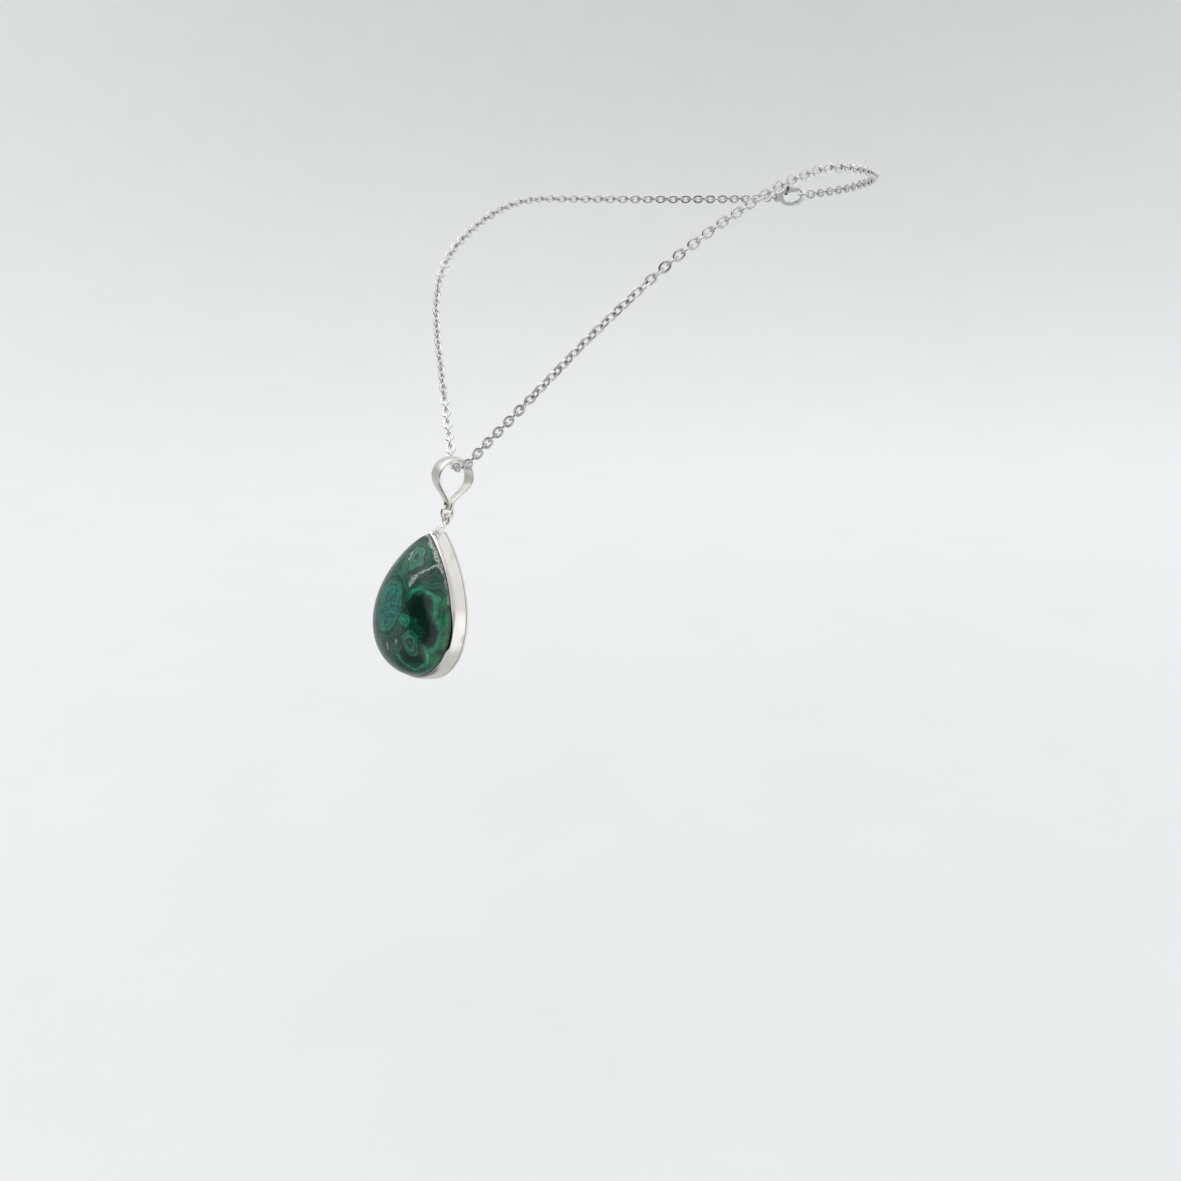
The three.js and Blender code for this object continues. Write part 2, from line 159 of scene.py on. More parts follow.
# Setting and stone, about the jump ring's centre.
SETTING_TOP = -4.8
SETTING_WIDTH = 28
SETTING_HEIGHT = 37
PEAR_POWER = 0.68
WALL_THICKNESS = 0.7
WALL_FRONT = -4.2
PLATE_FRONT = -0.2
PLATE_BACK = 0.5
STONE_INSET = 0.8
STONE_BACK = -0.4
DOME_HEIGHT = 9
CROWN = Vector((0, WALL_FRONT - DOME_HEIGHT, SETTING_TOP - 0.6 * SETTING_HEIGHT))

# Clasp.
LEVER_PIN = (-2.2, 1.5)
LEVER_PIN_RADIUS = 0.42
PIN_LENGTH = 2.4
SMALL_RING_RADIUS = 1.65
SMALL_RING_WIRE = 0.7
CLASP_RING_X = -6.3
CATCH_RING_X = 5.65
END_LINKS = {"left_end_link": -8.6, "right_end_link": 7.95}
END_LINK_LENGTH = 3.4
END_LINK_WIDTH = 2.6
END_LINK_WIRE = 0.58
SEAM = 0.05  # radians sawn out where a ring is closed
SPRING_RADIUS = 0.72
SPRING_WIRE = 0.15
SPRING_TURNS = 1.75
SPRING_FROM = math.radians(-70)
SPRING_LEGS = (0.55, 0.4)
SPRING_Y = (0.34, 0.54)
PIN_HEAD = 0.16

BAIL_FRAME = Matrix.Translation(BAIL_ORIGIN) @ Matrix.Rotation(-LEAN, 4, "X")
DROP_FRAME = BAIL_FRAME @ Matrix.Translation((0, 0, RING_Z)) @ Matrix.Rotation(TURN, 4, "Z")
PART_FRAME = Matrix.Identity(4)

# ---------------- camera and studio

CAMERA_AT = Vector((228.5, -262.2, -18.7)) * MM
CAMERA_AZIMUTH = 51.28  # degrees from the front, towards +X
CAMERA_ELEVATION = 16.35
CAMERA_ROLL = -1.57
CAMERA_LENS = 33.53

# The studio is in metres.
FLOOR_Z = -0.234
FLOOR_Y = -0.06
FLOOR_RADIUS = 0.9
FLOOR_CURVE = 0.9
WALL_HEIGHT = 1.6
FLOOR_SIDES = 96


def in_scene(name, data):
    """A new object in the scene."""
    made = bpy.data.objects.new(name, data)
    bpy.context.scene.collection.objects.link(made)
    return made


def add_camera():
    azimuth = math.radians(CAMERA_AZIMUTH)
    elevation = math.radians(CAMERA_ELEVATION)
    level = Vector((math.sin(azimuth), -math.cos(azimuth), 0)) * math.cos(elevation)
    back = level + Vector((0, 0, math.sin(elevation)))
    data = bpy.data.cameras.new("camera")
    data.lens = CAMERA_LENS
    data.sensor_width = 36
    data.clip_start = 0.01
    data.clip_end = 20
    camera = in_scene("camera", data)
    turned = (-back).to_track_quat("-Z", "Y").to_matrix().to_4x4()
    roll = Matrix.Rotation(math.radians(CAMERA_ROLL), 4, "Z")
    camera.matrix_world = Matrix.Translation(CAMERA_AT) @ turned @ roll
    bpy.context.scene.camera = camera


def add_floor():
    """A pale floor that curves up into a wall all round, and is seen only by the camera."""
    profile = [(FLOOR_RADIUS * i / 4, 0) for i in range(1, 5)]
    for i in range(1, 13):
        angle = math.pi / 2 * i / 12
        profile.append((FLOOR_RADIUS + FLOOR_CURVE * math.sin(angle), FLOOR_CURVE * (1 - math.cos(angle))))
    profile.append((FLOOR_RADIUS + FLOOR_CURVE, FLOOR_CURVE + WALL_HEIGHT))
    rings = []
    for radius, height in profile:
        rings.append([(x, y + FLOOR_Y, height + FLOOR_Z) for x, y in circle(radius, FLOOR_SIDES)])
    points, faces = loft(rings)
    faces.append(tuple(range(FLOOR_SIDES)))
    mesh = new_mesh("studio_floor", (points, faces))
    mesh.materials.append(floor_material())
    mesh.shade_smooth()
    floor = in_scene("studio_floor", mesh)
    floor.visible_glossy = False
    floor.visible_diffuse = False
    floor.visible_shadow = False
    floor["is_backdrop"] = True


# Lamps: name, place, size and power.
LAMPS = [
    ("key_left", (-0.55, -0.95, 0.85), (0.7, 0.5), 1.6),
    ("top", (0.1, -0.05, 1.1), (0.9, 0.9), 1.2),
    ("rim_back", (-0.3, 1.0, 0.6), (0.8, 0.5), 0.6),
]
LAMP_TARGET = (0, -0.07, -0.05)
# Lamps overhead that face outwards and light the wall evenly all round: (distance out, height) from and to.
WALL_WASHES = 5
WALL_WASH_FROM = (0.5, 1.5)
WALL_WASH_TO = (1.9, 1.0)
WALL_WASH_SIZE = (0.6, 0.6)
WALL_WASH_POWER = 5


def add_area_light(name, place, target, size, power):
    data = bpy.data.lights.new(name, "AREA")
    data.shape = "RECTANGLE"
    data.size, data.size_y = size
    data.energy = power
    lamp = in_scene(name, data)
    lamp.location = place
    lamp.rotation_mode = "QUATERNION"
    lamp.rotation_quaternion = (Vector(target) - Vector(place)).to_track_quat("-Z", "Y")
    lamp.visible_glossy = False
    lamp.visible_camera = False


def add_lights():
    for name, place, size, power in LAMPS:
        add_area_light(name, place, LAMP_TARGET, size, power)
    for i, (x, y) in enumerate(circle(1, WALL_WASHES)):
        ends = [Vector((x * out, y * out, height)) for out, height in (WALL_WASH_FROM, WALL_WASH_TO)]
        add_area_light(f"wall_wash_{i}", *ends, WALL_WASH_SIZE, WALL_WASH_POWER)


# What polished metal and stone see round them: towards where, how wide in degrees, and brightness added.
TENT_LEVEL = 0.62
TENT_PATCHES = [
    ((-0.2, -0.25, 0.95), 36, 0.75),
    ((0.2, 0.9, 0.3), 40, 0.25),
    ((0.85, 0.5, -0.3), 24, 0.35),
    ((0.15, -0.9, 0.4), 28, -0.5),
    ((0.5, -0.84, 0.05), 24, -0.5),
    ((-0.78, -0.6, 0.12), 24, -0.15),
    ((0.8, -0.5, 0.0), 12, -0.12),
    ((-0.2, -0.45, -0.87), 28, -0.42),
    ((0.95, 0.2, 0.1), 9, -0.45),
    ((0.6, 0.7, -0.42), 6, -0.4),
    ((-0.3, 0.9, -0.2), 10, -0.4),
]
TENT_DARKEST = 0.05
TENT_EDGE = 0.4  # share of a patch's width by which it fades on each side of its edge
TENT_COLOUR = (0.985, 0.995, 1, 1)


def add_world():
    world = bpy.data.worlds.new("light_tent")
    bpy.context.scene.world = world
    world.use_nodes = True
    graph = Graph(world.node_tree)
    direction = graph.add("ShaderNodeTexCoord").outputs["Generated"]
    level = TENT_LEVEL
    for towards, width, amount in TENT_PATCHES:
        aligned = graph.vector("DOT_PRODUCT", direction, tuple(Vector(towards).normalized()))
        inner = math.cos(math.radians(width * (1 - TENT_EDGE)))
        outer = math.cos(math.radians(width * (1 + TENT_EDGE)))
        patch = graph.smooth(aligned, outer, inner)
        level = graph.plus(level, graph.times(patch, amount))
    level = graph.math("MAXIMUM", level, TENT_DARKEST)
    graph.feed(world.node_tree.nodes["Background"], Color=TENT_COLOUR, Strength=level)


# ---------------- shader graphs


class Graph:
    """A node tree, built by calls that take sockets or plain values and give sockets back."""

    def __init__(self, tree):
        self.tree = tree

    def add(self, kind, **settings):
        node = self.tree.nodes.new(kind)
        for name, value in settings.items():
            setattr(node, name, value)
        return node

    def link(self, value, socket):
        """Joins a socket to another one, or sets it to a plain value."""
        if isinstance(value, bpy.types.NodeSocket):
            self.tree.links.new(value, socket)
        else:
            socket.default_value = value

    def feed(self, node, **inputs):
        """Links or sets inputs of a node by their names, with _ for a space."""
        for name, value in inputs.items():
            self.link(value, node.inputs[name.replace("_", " ")])

    def math(self, operation, *values, clamp=False):
        node = self.add("ShaderNodeMath", operation=operation, use_clamp=clamp)
        for value, socket in zip(values, node.inputs):
            self.link(value, socket)
        return node.outputs[0]

    def plus(self, first, second):
        return self.math("ADD", first, second)

    def minus(self, first, second):
        return self.math("SUBTRACT", first, second)

    def times(self, first, second, clamp=False):
        return self.math("MULTIPLY", first, second, clamp=clamp)

    def vector(self, operation, *values, scale=None):
        node = self.add("ShaderNodeVectorMath", operation=operation)
        for value, socket in zip(values, node.inputs):
            self.link(value, socket)
        if scale is not None:
            self.feed(node, Scale=scale)
        scalar = operation in ("DOT_PRODUCT", "LENGTH", "DISTANCE")
        return node.outputs["Value" if scalar else "Vector"]

    def smooth(self, value, low, high, to_low=0.0, to_high=1.0):
        """A soft step from to_low, where value is at low, to to_high, where it is at high."""
        node = self.add("ShaderNodeMapRange", interpolation_type="SMOOTHSTEP")
        self.feed(node, Value=value, From_Min=low, From_Max=high, To_Min=to_low, To_Max=to_high)
        return node.outputs["Result"]

    def noise(self, place, scale, detail=2.0, roughness=0.5, colour=False):
        node = self.add("ShaderNodeTexNoise", noise_dimensions="3D")
        self.feed(node, Vector=place, Scale=scale, Detail=detail, Roughness=roughness)
        return node.outputs["Color" if colour else "Fac"]

    def noise_along(self, value, scale, detail):
        """One-dimensional noise, so that equal values give equal bands."""
        node = self.add("ShaderNodeTexNoise", noise_dimensions="1D")
        self.feed(node, W=value, Scale=scale, Detail=detail)
        return node.outputs["Fac"]

    def mix(self, factor, first, second):
        """Two colours mixed, the second one alone where factor is 1."""
        node = self.add("ShaderNodeMix", data_type="RGBA")
        colours = [socket for socket in node.inputs if socket.type == "RGBA"]
        self.link(factor, node.inputs["Factor"])
        self.link(first, colours[0])
        self.link(second, colours[1])
        return next(socket for socket in node.outputs if socket.type == "RGBA")

    def ramp(self, value, stops):
        """Brightness along value, from (value, brightness) stops in order."""
        low, high = stops[0][0], stops[-1][0]
        node = self.add("ShaderNodeValToRGB")
        spread = self.add("ShaderNodeMapRange")
        self.feed(spread, Value=value, From_Min=low, From_Max=high)
        self.feed(node, Fac=spread.outputs["Result"])
        elements = node.color_ramp.elements
        for place, level in stops:
            share = (place - low) / (high - low)
            if place == low:
                element = elements[0]
            elif place == high:
                element = elements[len(elements) - 1]
            else:
                element = elements.new(share)
            element.position = share
            element.color = (level, level, level, 1)
        return node.outputs["Color"]


def srgb(red, green, blue):
    """A colour given in screen values of 0 to 255, as linear light."""
    linear = [((c / 255 + 0.055) / 1.055) ** 2.4 if c > 10 else c / 255 / 12.92 for c in (red, green, blue)]
    return (*linear, 1)


def new_material(name):
    """(material, its graph, its shader, a socket with the place in millimetres)"""
    material = bpy.data.materials.new(name)
    material.use_nodes = True
    graph = Graph(material.node_tree)
    place = graph.add("ShaderNodeTexCoord").outputs["Object"]
    in_mm = graph.vector("SCALE", place, scale=1 / MM)
    return material, graph, material.node_tree.nodes["Principled BSDF"], in_mm


def bump(graph, shader, height):
    """Bumps from a height in millimetres."""
    node = graph.add("ShaderNodeBump")
    graph.feed(node, Distance=MM, Strength=1.0, Height=height)
    graph.feed(shader, Normal=node.outputs["Normal"])


# ---------------- paper and metals

PAPER = (0.79, 0.797, 0.80, 1)
PAPER_LIGHT = (0.82, 0.826, 0.83, 1)


def floor_material():
    material, graph, shader, place = new_material("studio_paper")
    grain = graph.noise(place, 0.02, detail=3)
    graph.feed(shader, Base_Color=graph.mix(grain, PAPER, PAPER_LIGHT), Roughness=0.9, Specular_IOR_Level=0.1)
    return material


class Metal(NamedTuple):
    """A metal's look. Depths are in millimetres, and scales in features per millimetre."""

    bright: tuple
    dull: tuple
    roughness: float
    scratch_depth: float
    scratch_scale: float
    wave_depth: float
    tone_scale: float


METALS = {
    "chain_steel": Metal((0.88, 0.88, 0.885, 1), (0.7, 0.7, 0.71, 1), 0.15, 0.004, 5, 0.0, 0.9),
    "clasp_steel": Metal((0.86, 0.865, 0.875, 1), (0.76, 0.765, 0.775, 1), 0.16, 0.002, 4, 0.0, 0.25),
    "bail_silver": Metal((0.95, 0.925, 0.88, 1), (0.84, 0.81, 0.76, 1), 0.24, 0.006, 3, 0.012, 0.3),
    "setting_silver": Metal((0.92, 0.895, 0.85, 1), (0.83, 0.80, 0.75, 1), 0.13, 0.0015, 2, 0.0, 0.12),
    "plate_silver": Metal((0.88, 0.86, 0.82, 1), (0.78, 0.76, 0.72, 1), 0.3, 0.008, 3, 0.02, 0.15),
}
CREVICE_REACH = 0.7
CREVICE_SHADE_SHARE = 0.25  # how bright the painted crevice shade is beside the dull metal
SCRATCH_STRETCH = (1.0, 0.35, 6.0)
WAVE_SCALE = 0.55


def metal_material(name, metal):
    """Silver or steel: tone and polish that vary, fine scratches, and painted shade that darkens its
    crevices.
    """
    material, graph, shader, place = new_material(name)
    tone = graph.noise(place, metal.tone_scale, detail=4)
    # Ambient occlusion paints shade into the colour. Where crevices close the metal in, it turns to its dull
    # tone and then to a darker painted shade.
    crevice = graph.add("ShaderNodeAmbientOcclusion", samples=6, only_local=False)
    graph.feed(crevice, Distance=CREVICE_REACH * MM)
    open_share = graph.smooth(crevice.outputs["AO"], 0.15, 0.75)
    tone_and_shade = graph.times(graph.smooth(tone, 0.35, 0.6), open_share)
    base = graph.mix(tone_and_shade, metal.dull, metal.bright)
    crevice_shade = (*(CREVICE_SHADE_SHARE * c for c in metal.dull[:3]), 1)
    base = graph.mix(graph.smooth(open_share, 0.0, 0.4), crevice_shade, base)
    smudge = graph.noise(place, metal.tone_scale * 2, detail=5, roughness=0.6)
    rough = graph.smooth(smudge, 0.3, 0.75, metal.roughness * 0.7, metal.roughness * 1.5)
    graph.feed(shader, Base_Color=base, Metallic=1.0, Roughness=rough)
    stretched = graph.vector("MULTIPLY", place, SCRATCH_STRETCH)
    scratches = graph.noise(stretched, metal.scratch_scale, detail=6, roughness=0.65)
    waves = graph.noise(place, WAVE_SCALE, detail=1)
    scratched = graph.times(scratches, metal.scratch_depth)
    bump(graph, shader, graph.plus(scratched, graph.times(waves, metal.wave_depth)))
    return material


# ---------------- malachite

# Places on the stone are millimetres over its surface, measured from the crown: right, then up.
# An orb is (right, up, half width, half height, tilt), and its rings are as bright all round unless the
# direction of its brightest side follows. Both angles are in degrees.
GROUND_ORBS = [
    (-0.6, 3.4, 5.4, 7.6, 6),
    (10.4, 2.4, 5.6, 8.2, 0),
    (7.6, -7.8, 5.4, 6.4, 0),
    (2.9, 16.0, 2.4, 3.8, -14),
    (-9.6, 3.2, 3.6, 5.4, 14),
    (-8.4, -9.6, 5.0, 4.2, 30),
]
FAINT_ORBS = [
    (-2.3, -7.7, 1.2, 1.8, 10),
    (3.4, -6.9, 1.3, 1.7, 0),
    (1.0, 13.6, 1.9, 2.2, 30, -40),
    (0.2, -12.8, 2.4, 1.9, -8),
    (9.4, 2.6, 0.7, 0.9, 0),
    (-12.6, 8.6, 1.5, 2.2, 30),
    (-11.2, -13.0, 2.0, 1.6, 40),
    (-4.6, -16.6, 2.6, 1.3, 10),
]
PALE_ORBS = [
    (7.7, -7.4, 3.9, 4.5, 6, -72),
    (-8.9, -7.4, 3.0, 3.8, -20, -130),
]
TEAL_ORBS = [
    (-0.6, 3.4, 4.1, 6.0, 6),
    (-3.8, 14.7, 1.7, 1.9, 20),
    (-11.6, -3.0, 2.0, 3.0, -12),
]
DARK_ORBS = [
    (8.6, 5.1, 3.6, 4.1, -10, 55),
    (10.7, 2.0, 2.3, 2.6, -30, 20),
    (12.3, -1.2, 2.2, 4.3, 0, -12),
    (-9.6, 6.2, 2.2, 3.4, 14, 150),
    (-5.2, -12.0, 3.2, 2.0, 8, -110),
]
BRIGHT_ORBS = [
    (3.0, 16.5, 1.65, 2.65, -14),
    (5.8, 1.1, 1.45, 1.6, 0),
    (7.9, -4.2, 1.9, 3.4, 4),
    (-8.7, 12.4, 1.3, 2.0, 24),
    (-8.8, -6.6, 1.6, 2.3, -20),
    (14.6, -9.6, 1.0, 2.2, 30),
]
# How bright the malachite is at a distance in millimetres from an orb's edge, outwards positive.
FAINT_RINGS = [(-1.6, 0.1), (-1.1, 0.3), (-0.8, 0.14), (-0.4, 0.1), (-0.1, 0.55), (0.15, 0.3), (0.4, 0.1)]
PALE_RINGS = [(-1.5, 0.06), (-1.0, 0.3), (-0.85, 0.12), (-0.55, 0.2), (-0.3, 0.95), (0.15, 1.0), (0.4, 0.45),
              (0.7, 0.15), (1.3, 0.12), (1.6, 0.5), (1.9, 0.15), (2.4, 0.1)]
TEAL_RINGS = [(-1.4, 0.1), (-1.0, 0.2), (-0.8, 0.85), (-0.6, 0.35), (-0.4, 0.25), (-0.12, 0.9), (0.1, 1.0),
              (0.3, 0.3), (0.7, 0.1), (1.25, 0.06), (1.5, 0.45), (1.75, 0.1)]
DARK_RINGS = [(-1.5, 0.0), (-0.75, 0.03), (-0.5, 0.12), (-0.3, 0.24), (-0.1, 1.0), (0.2, 0.95), (0.34, 0.5),
              (0.5, 0.8), (0.7, 0.3), (1.0, 0.12)]
BRIGHT_RINGS = [(-2.2, 0.4), (-1.8, 0.05), (-1.45, 0.1), (-1.25, 1.0), (-0.8, 0.9), (-0.62, 0.2),
                (-0.42, 0.75), (-0.26, 0.15), (-0.08, 0.95), (0.08, 0.9), (0.22, 0.2), (0.4, 0.1)]
# Veins of pale crystals: (half width, chain of points in the same places).
VEINS = [
    (0.5, [(0.2, 23.6), (3.9, 20.6), (6.4, 18.0), (10.1, 14.9), (12.9, 11.0), (14.4, 8.2)]),
    (0.34, [(4.7, 20.9), (7.3, 17.7)]),
    (0.26, [(7.3, 17.2), (6.5, 14.6), (5.4, 12.8), (4.7, 11.5), (4.8, 9.4)]),
    (0.3, [(-6.0, 18.4), (-8.4, 14.8), (-9.8, 11.2)]),
]
# Soft ellipses, each (right, up, half width, half height): pale crystals, and a brighter green.
PALE_PATCHES = [
    (4.8, 10.9, 0.7, 1.5),
    (7.9, 17.0, 1.0, 1.1),
    (0.6, -6.6, 0.3, 1.2),
    (1.2, 16.2, 0.35, 1.3),
    (3.9, -4.3, 0.35, 0.7),
    (0.4, 22.9, 1.3, 0.8),
]
GLOW_PATCHES = [
    (15.6, 2.9, 1.9, 3.0),
    (13.6, 8.8, 1.2, 2.7),
    (15.9, -3.8, 1.5, 3.0),
    (13.4, -8.4, 1.8, 1.6),
    (-14.2, 4.0, 1.2, 3.2),
]

GROUND_DARK = srgb(10, 50, 41)
GROUND_GREEN = srgb(26, 102, 80)
RING_GREEN = srgb(36, 158, 116)
RING_TEAL = srgb(30, 152, 124)
RING_PALE = srgb(74, 176, 138)
CORE_TEAL = srgb(28, 144, 130)
CORE_BLUE = srgb(8, 88, 112)
CORE_DEEP = srgb(10, 92, 88)
SPECK_DARK = srgb(4, 34, 38)
LOBE_DARK = srgb(5, 32, 27)
LOBE_GREEN = srgb(9, 54, 43)
VEIN_DARK = srgb(10, 70, 54)
PALE = srgb(226, 236, 229)
GLOW_GREEN = srgb(0, 126, 70)

DOME_STRETCH = 1.14  # how much more a millimetre down the dome counts than one across
WARPS = ((0.2, 1.0), (0.7, 0.36))  # (scale, millimetres either way)
LOBES = ((0.55, 0.62), (1.15, 0.3))  # (scale, millimetres that a lobe swells)
FAR_AWAY = 1000.0
STONE_IOR = 1.6
RIPPLE_DEPTH = 0.05
PIT_DEPTH = 0.02
CRYSTAL_ROUGHNESS = 0.25


def seen_from(graph, place, own_frame):
    """A place in the part's frame as it is in another frame, which has been moved and turned."""
    offset = graph.vector("SUBTRACT", place, tuple(own_frame.translation))
    combined = graph.add("ShaderNodeCombineXYZ")
    for axis, socket in zip(own_frame.to_3x3().transposed(), combined.inputs):
        graph.link(graph.vector("DOT_PRODUCT", offset, tuple(axis)), socket)
    return combined.outputs[0]


def over_surface(graph, from_crown):
    """Turns a point on the dome into its place over the surface: right in X, up in Z."""
    flat = graph.vector("MULTIPLY", from_crown, (1, 0, 1))
    across = graph.math("MAXIMUM", graph.vector("LENGTH", flat), 0.001)
    along = graph.vector("LENGTH", graph.vector("MULTIPLY", from_crown, (1, DOME_STRETCH, 1)))
    return graph.vector("SCALE", flat, scale=graph.math("DIVIDE", along, across))


def warped(graph, place, seed_place):
    """Pushes the pattern about, at each of two sizes, so that no outline stays an ellipse."""
    for scale, amount in WARPS:
        push = graph.noise(seed_place, scale, detail=1, colour=True)
        push = graph.vector("SUBTRACT", push, (0.5, 0.5, 0.5))
        place = graph.vector("ADD", place, graph.vector("MULTIPLY", push, (amount * 2, 0, amount * 2)))
    return place


def scallops(graph, place):
    """Millimetres by which outlines swell, in round lobes that meet in cusps, as malachite grows."""
    swell = 0.0
    for scale, depth in LOBES:
        cells = graph.add("ShaderNodeTexVoronoi", feature="F1")
        graph.feed(cells, Vector=place, Scale=scale)
        swell = graph.plus(swell, graph.times(graph.minus(0.5, cells.outputs["Distance"]), depth))
    return swell


def orb_distance(graph, offset, half_width, half_height, tilt):
    """Millimetres from an orb's edge, positive outside."""
    turn = graph.add("ShaderNodeVectorRotate", rotation_type="Y_AXIS")
    graph.feed(turn, Vector=offset, Angle=math.radians(-tilt))
    scaled = graph.vector("MULTIPLY", turn.outputs["Vector"], (1 / half_width, 1, 1 / half_height))
    outside = graph.minus(graph.vector("LENGTH", scaled), 1)
    return graph.times(outside, (half_width + half_height) / 2)


def lit_share(graph, offset, brightest_side=None):
    """1 on an orb's brightest side, falling to 0 on its far side, or 1 all round."""
    if brightest_side is None:
        return 1.0
    angle = math.radians(brightest_side)
    direction = graph.vector("NORMALIZE", offset)
    facing = graph.vector("DOT_PRODUCT", direction, (math.cos(angle), 0, math.sin(angle)))
    return graph.smooth(facing, -0.45, 0.2)


def nearest_orb(graph, place, orbs):
    """(distance to the nearest orb's edge, how bright its rings are on this side)"""
    nearest = FAR_AWAY
    brightness = 0.0
    for right, up, half_width, half_height, tilt, *brightest_side in orbs:
        offset = graph.vector("SUBTRACT", place, (right, 0, up))
        distance = orb_distance(graph, offset, half_width, half_height, tilt)
        lit = lit_share(graph, offset, *brightest_side)
        closer = graph.math("LESS_THAN", distance, nearest)
        kept = graph.times(graph.minus(1, closer), brightness)
        brightness = graph.plus(kept, graph.times(closer, lit))
        nearest = graph.math("MINIMUM", distance, nearest)
    return nearest, brightness


def polyline_distance(graph, place, corners):
    """Millimetres from a chain of straight stretches."""
    nearest = FAR_AWAY
    for (x0, z0), (x1, z1) in zip(corners, corners[1:]):
        run = Vector((x1 - x0, 0, z1 - z0))
        offset = graph.vector("SUBTRACT", place, (x0, 0, z0))
        along = graph.vector("DOT_PRODUCT", offset, tuple(run))
        share = graph.math("DIVIDE", along, run.length_squared, clamp=True)
        foot = graph.vector("SCALE", tuple(run), scale=share)
        nearest = graph.math("MINIMUM", nearest, graph.vector("DISTANCE", offset, foot))
    return nearest


def patches(graph, place, shapes):
    """1 in the middle of any of these soft ellipses, 0 outside them."""
    total = 0.0
    for right, up, half_width, half_height in shapes:
        offset = graph.vector("SUBTRACT", place, (right, 0, up))
        scaled = graph.vector("MULTIPLY", offset, (1 / half_width, 1, 1 / half_height))
        inside = graph.smooth(graph.vector("LENGTH", scaled), 1.25, 0.55)
        total = graph.math("MAXIMUM", total, inside)
    return total


def banded_ground(graph, distance):
    """Dark and less dark green in bands that follow the orbs, fading away from them."""
    bands = graph.smooth(graph.noise_along(distance, 1.5, detail=6), 0.36, 0.64)
    strength = graph.times(bands, graph.smooth(distance, 7.0, 0.5, 0.35, 0.9))
    return graph.mix(strength, GROUND_DARK, GROUND_GREEN)


def ringed(graph, spot, ground, distance, brightness, rings, ring_colour, centre):
    """One family of orbs over the ground: its rings, and its centre colour inside them."""
    filled = graph.mix(graph.smooth(distance, -0.5, -1.1), ground, centre)
    light = graph.ramp(distance, rings)
    uneven = graph.smooth(graph.noise(spot, 0.45, detail=3), 0.3, 0.6, 0.45, 1.15)
    streak = graph.smooth(graph.noise_along(distance, 7, detail=3), 0.3, 0.7, 0.68, 1.12)
    strength = graph.times(light, brightness)
    strength = graph.times(strength, uneven)
    strength = graph.times(strength, streak, clamp=True)
    return graph.mix(strength, filled, ring_colour)


def teal_core(graph, spot):
    """The blue-green filling of the largest orb, with blue clouds and dark holes."""
    clouds = graph.noise(spot, 0.42, detail=3, roughness=0.6)
    blotch = graph.noise(spot, 1.3, detail=4, roughness=0.7)
    colour = graph.mix(graph.smooth(blotch, 0.4, 0.6), CORE_DEEP, CORE_TEAL)
    colour = graph.mix(graph.smooth(clouds, 0.54, 0.64, 0.0, 0.7), colour, CORE_BLUE)
    holes = graph.smooth(graph.noise(spot, 0.75, detail=5, roughness=0.7), 0.55, 0.6)
    return graph.mix(holes, colour, SPECK_DARK)


def crystals(graph, spot, pattern, colour):
    """(colour with the veins on it, how much pale crystal there is)"""
    vein = patches(graph, pattern, PALE_PATCHES)
    for width, corners in VEINS:
        distance = polyline_distance(graph, pattern, corners)
        vein = graph.math("MAXIMUM", vein, graph.smooth(distance, width * 1.4, width * 0.5))
    grit = graph.noise(spot, 3.2, detail=4, roughness=0.8)
    pale = graph.times(vein, graph.smooth(grit, 0.47, 0.54), clamp=True)
    dark = graph.times(vein, graph.smooth(grit, 0.42, 0.36), clamp=True)
    colour = graph.mix(graph.times(vein, 0.6), colour, VEIN_DARK)
    colour = graph.mix(dark, colour, SPECK_DARK)
    return graph.mix(pale, colour, PALE), pale


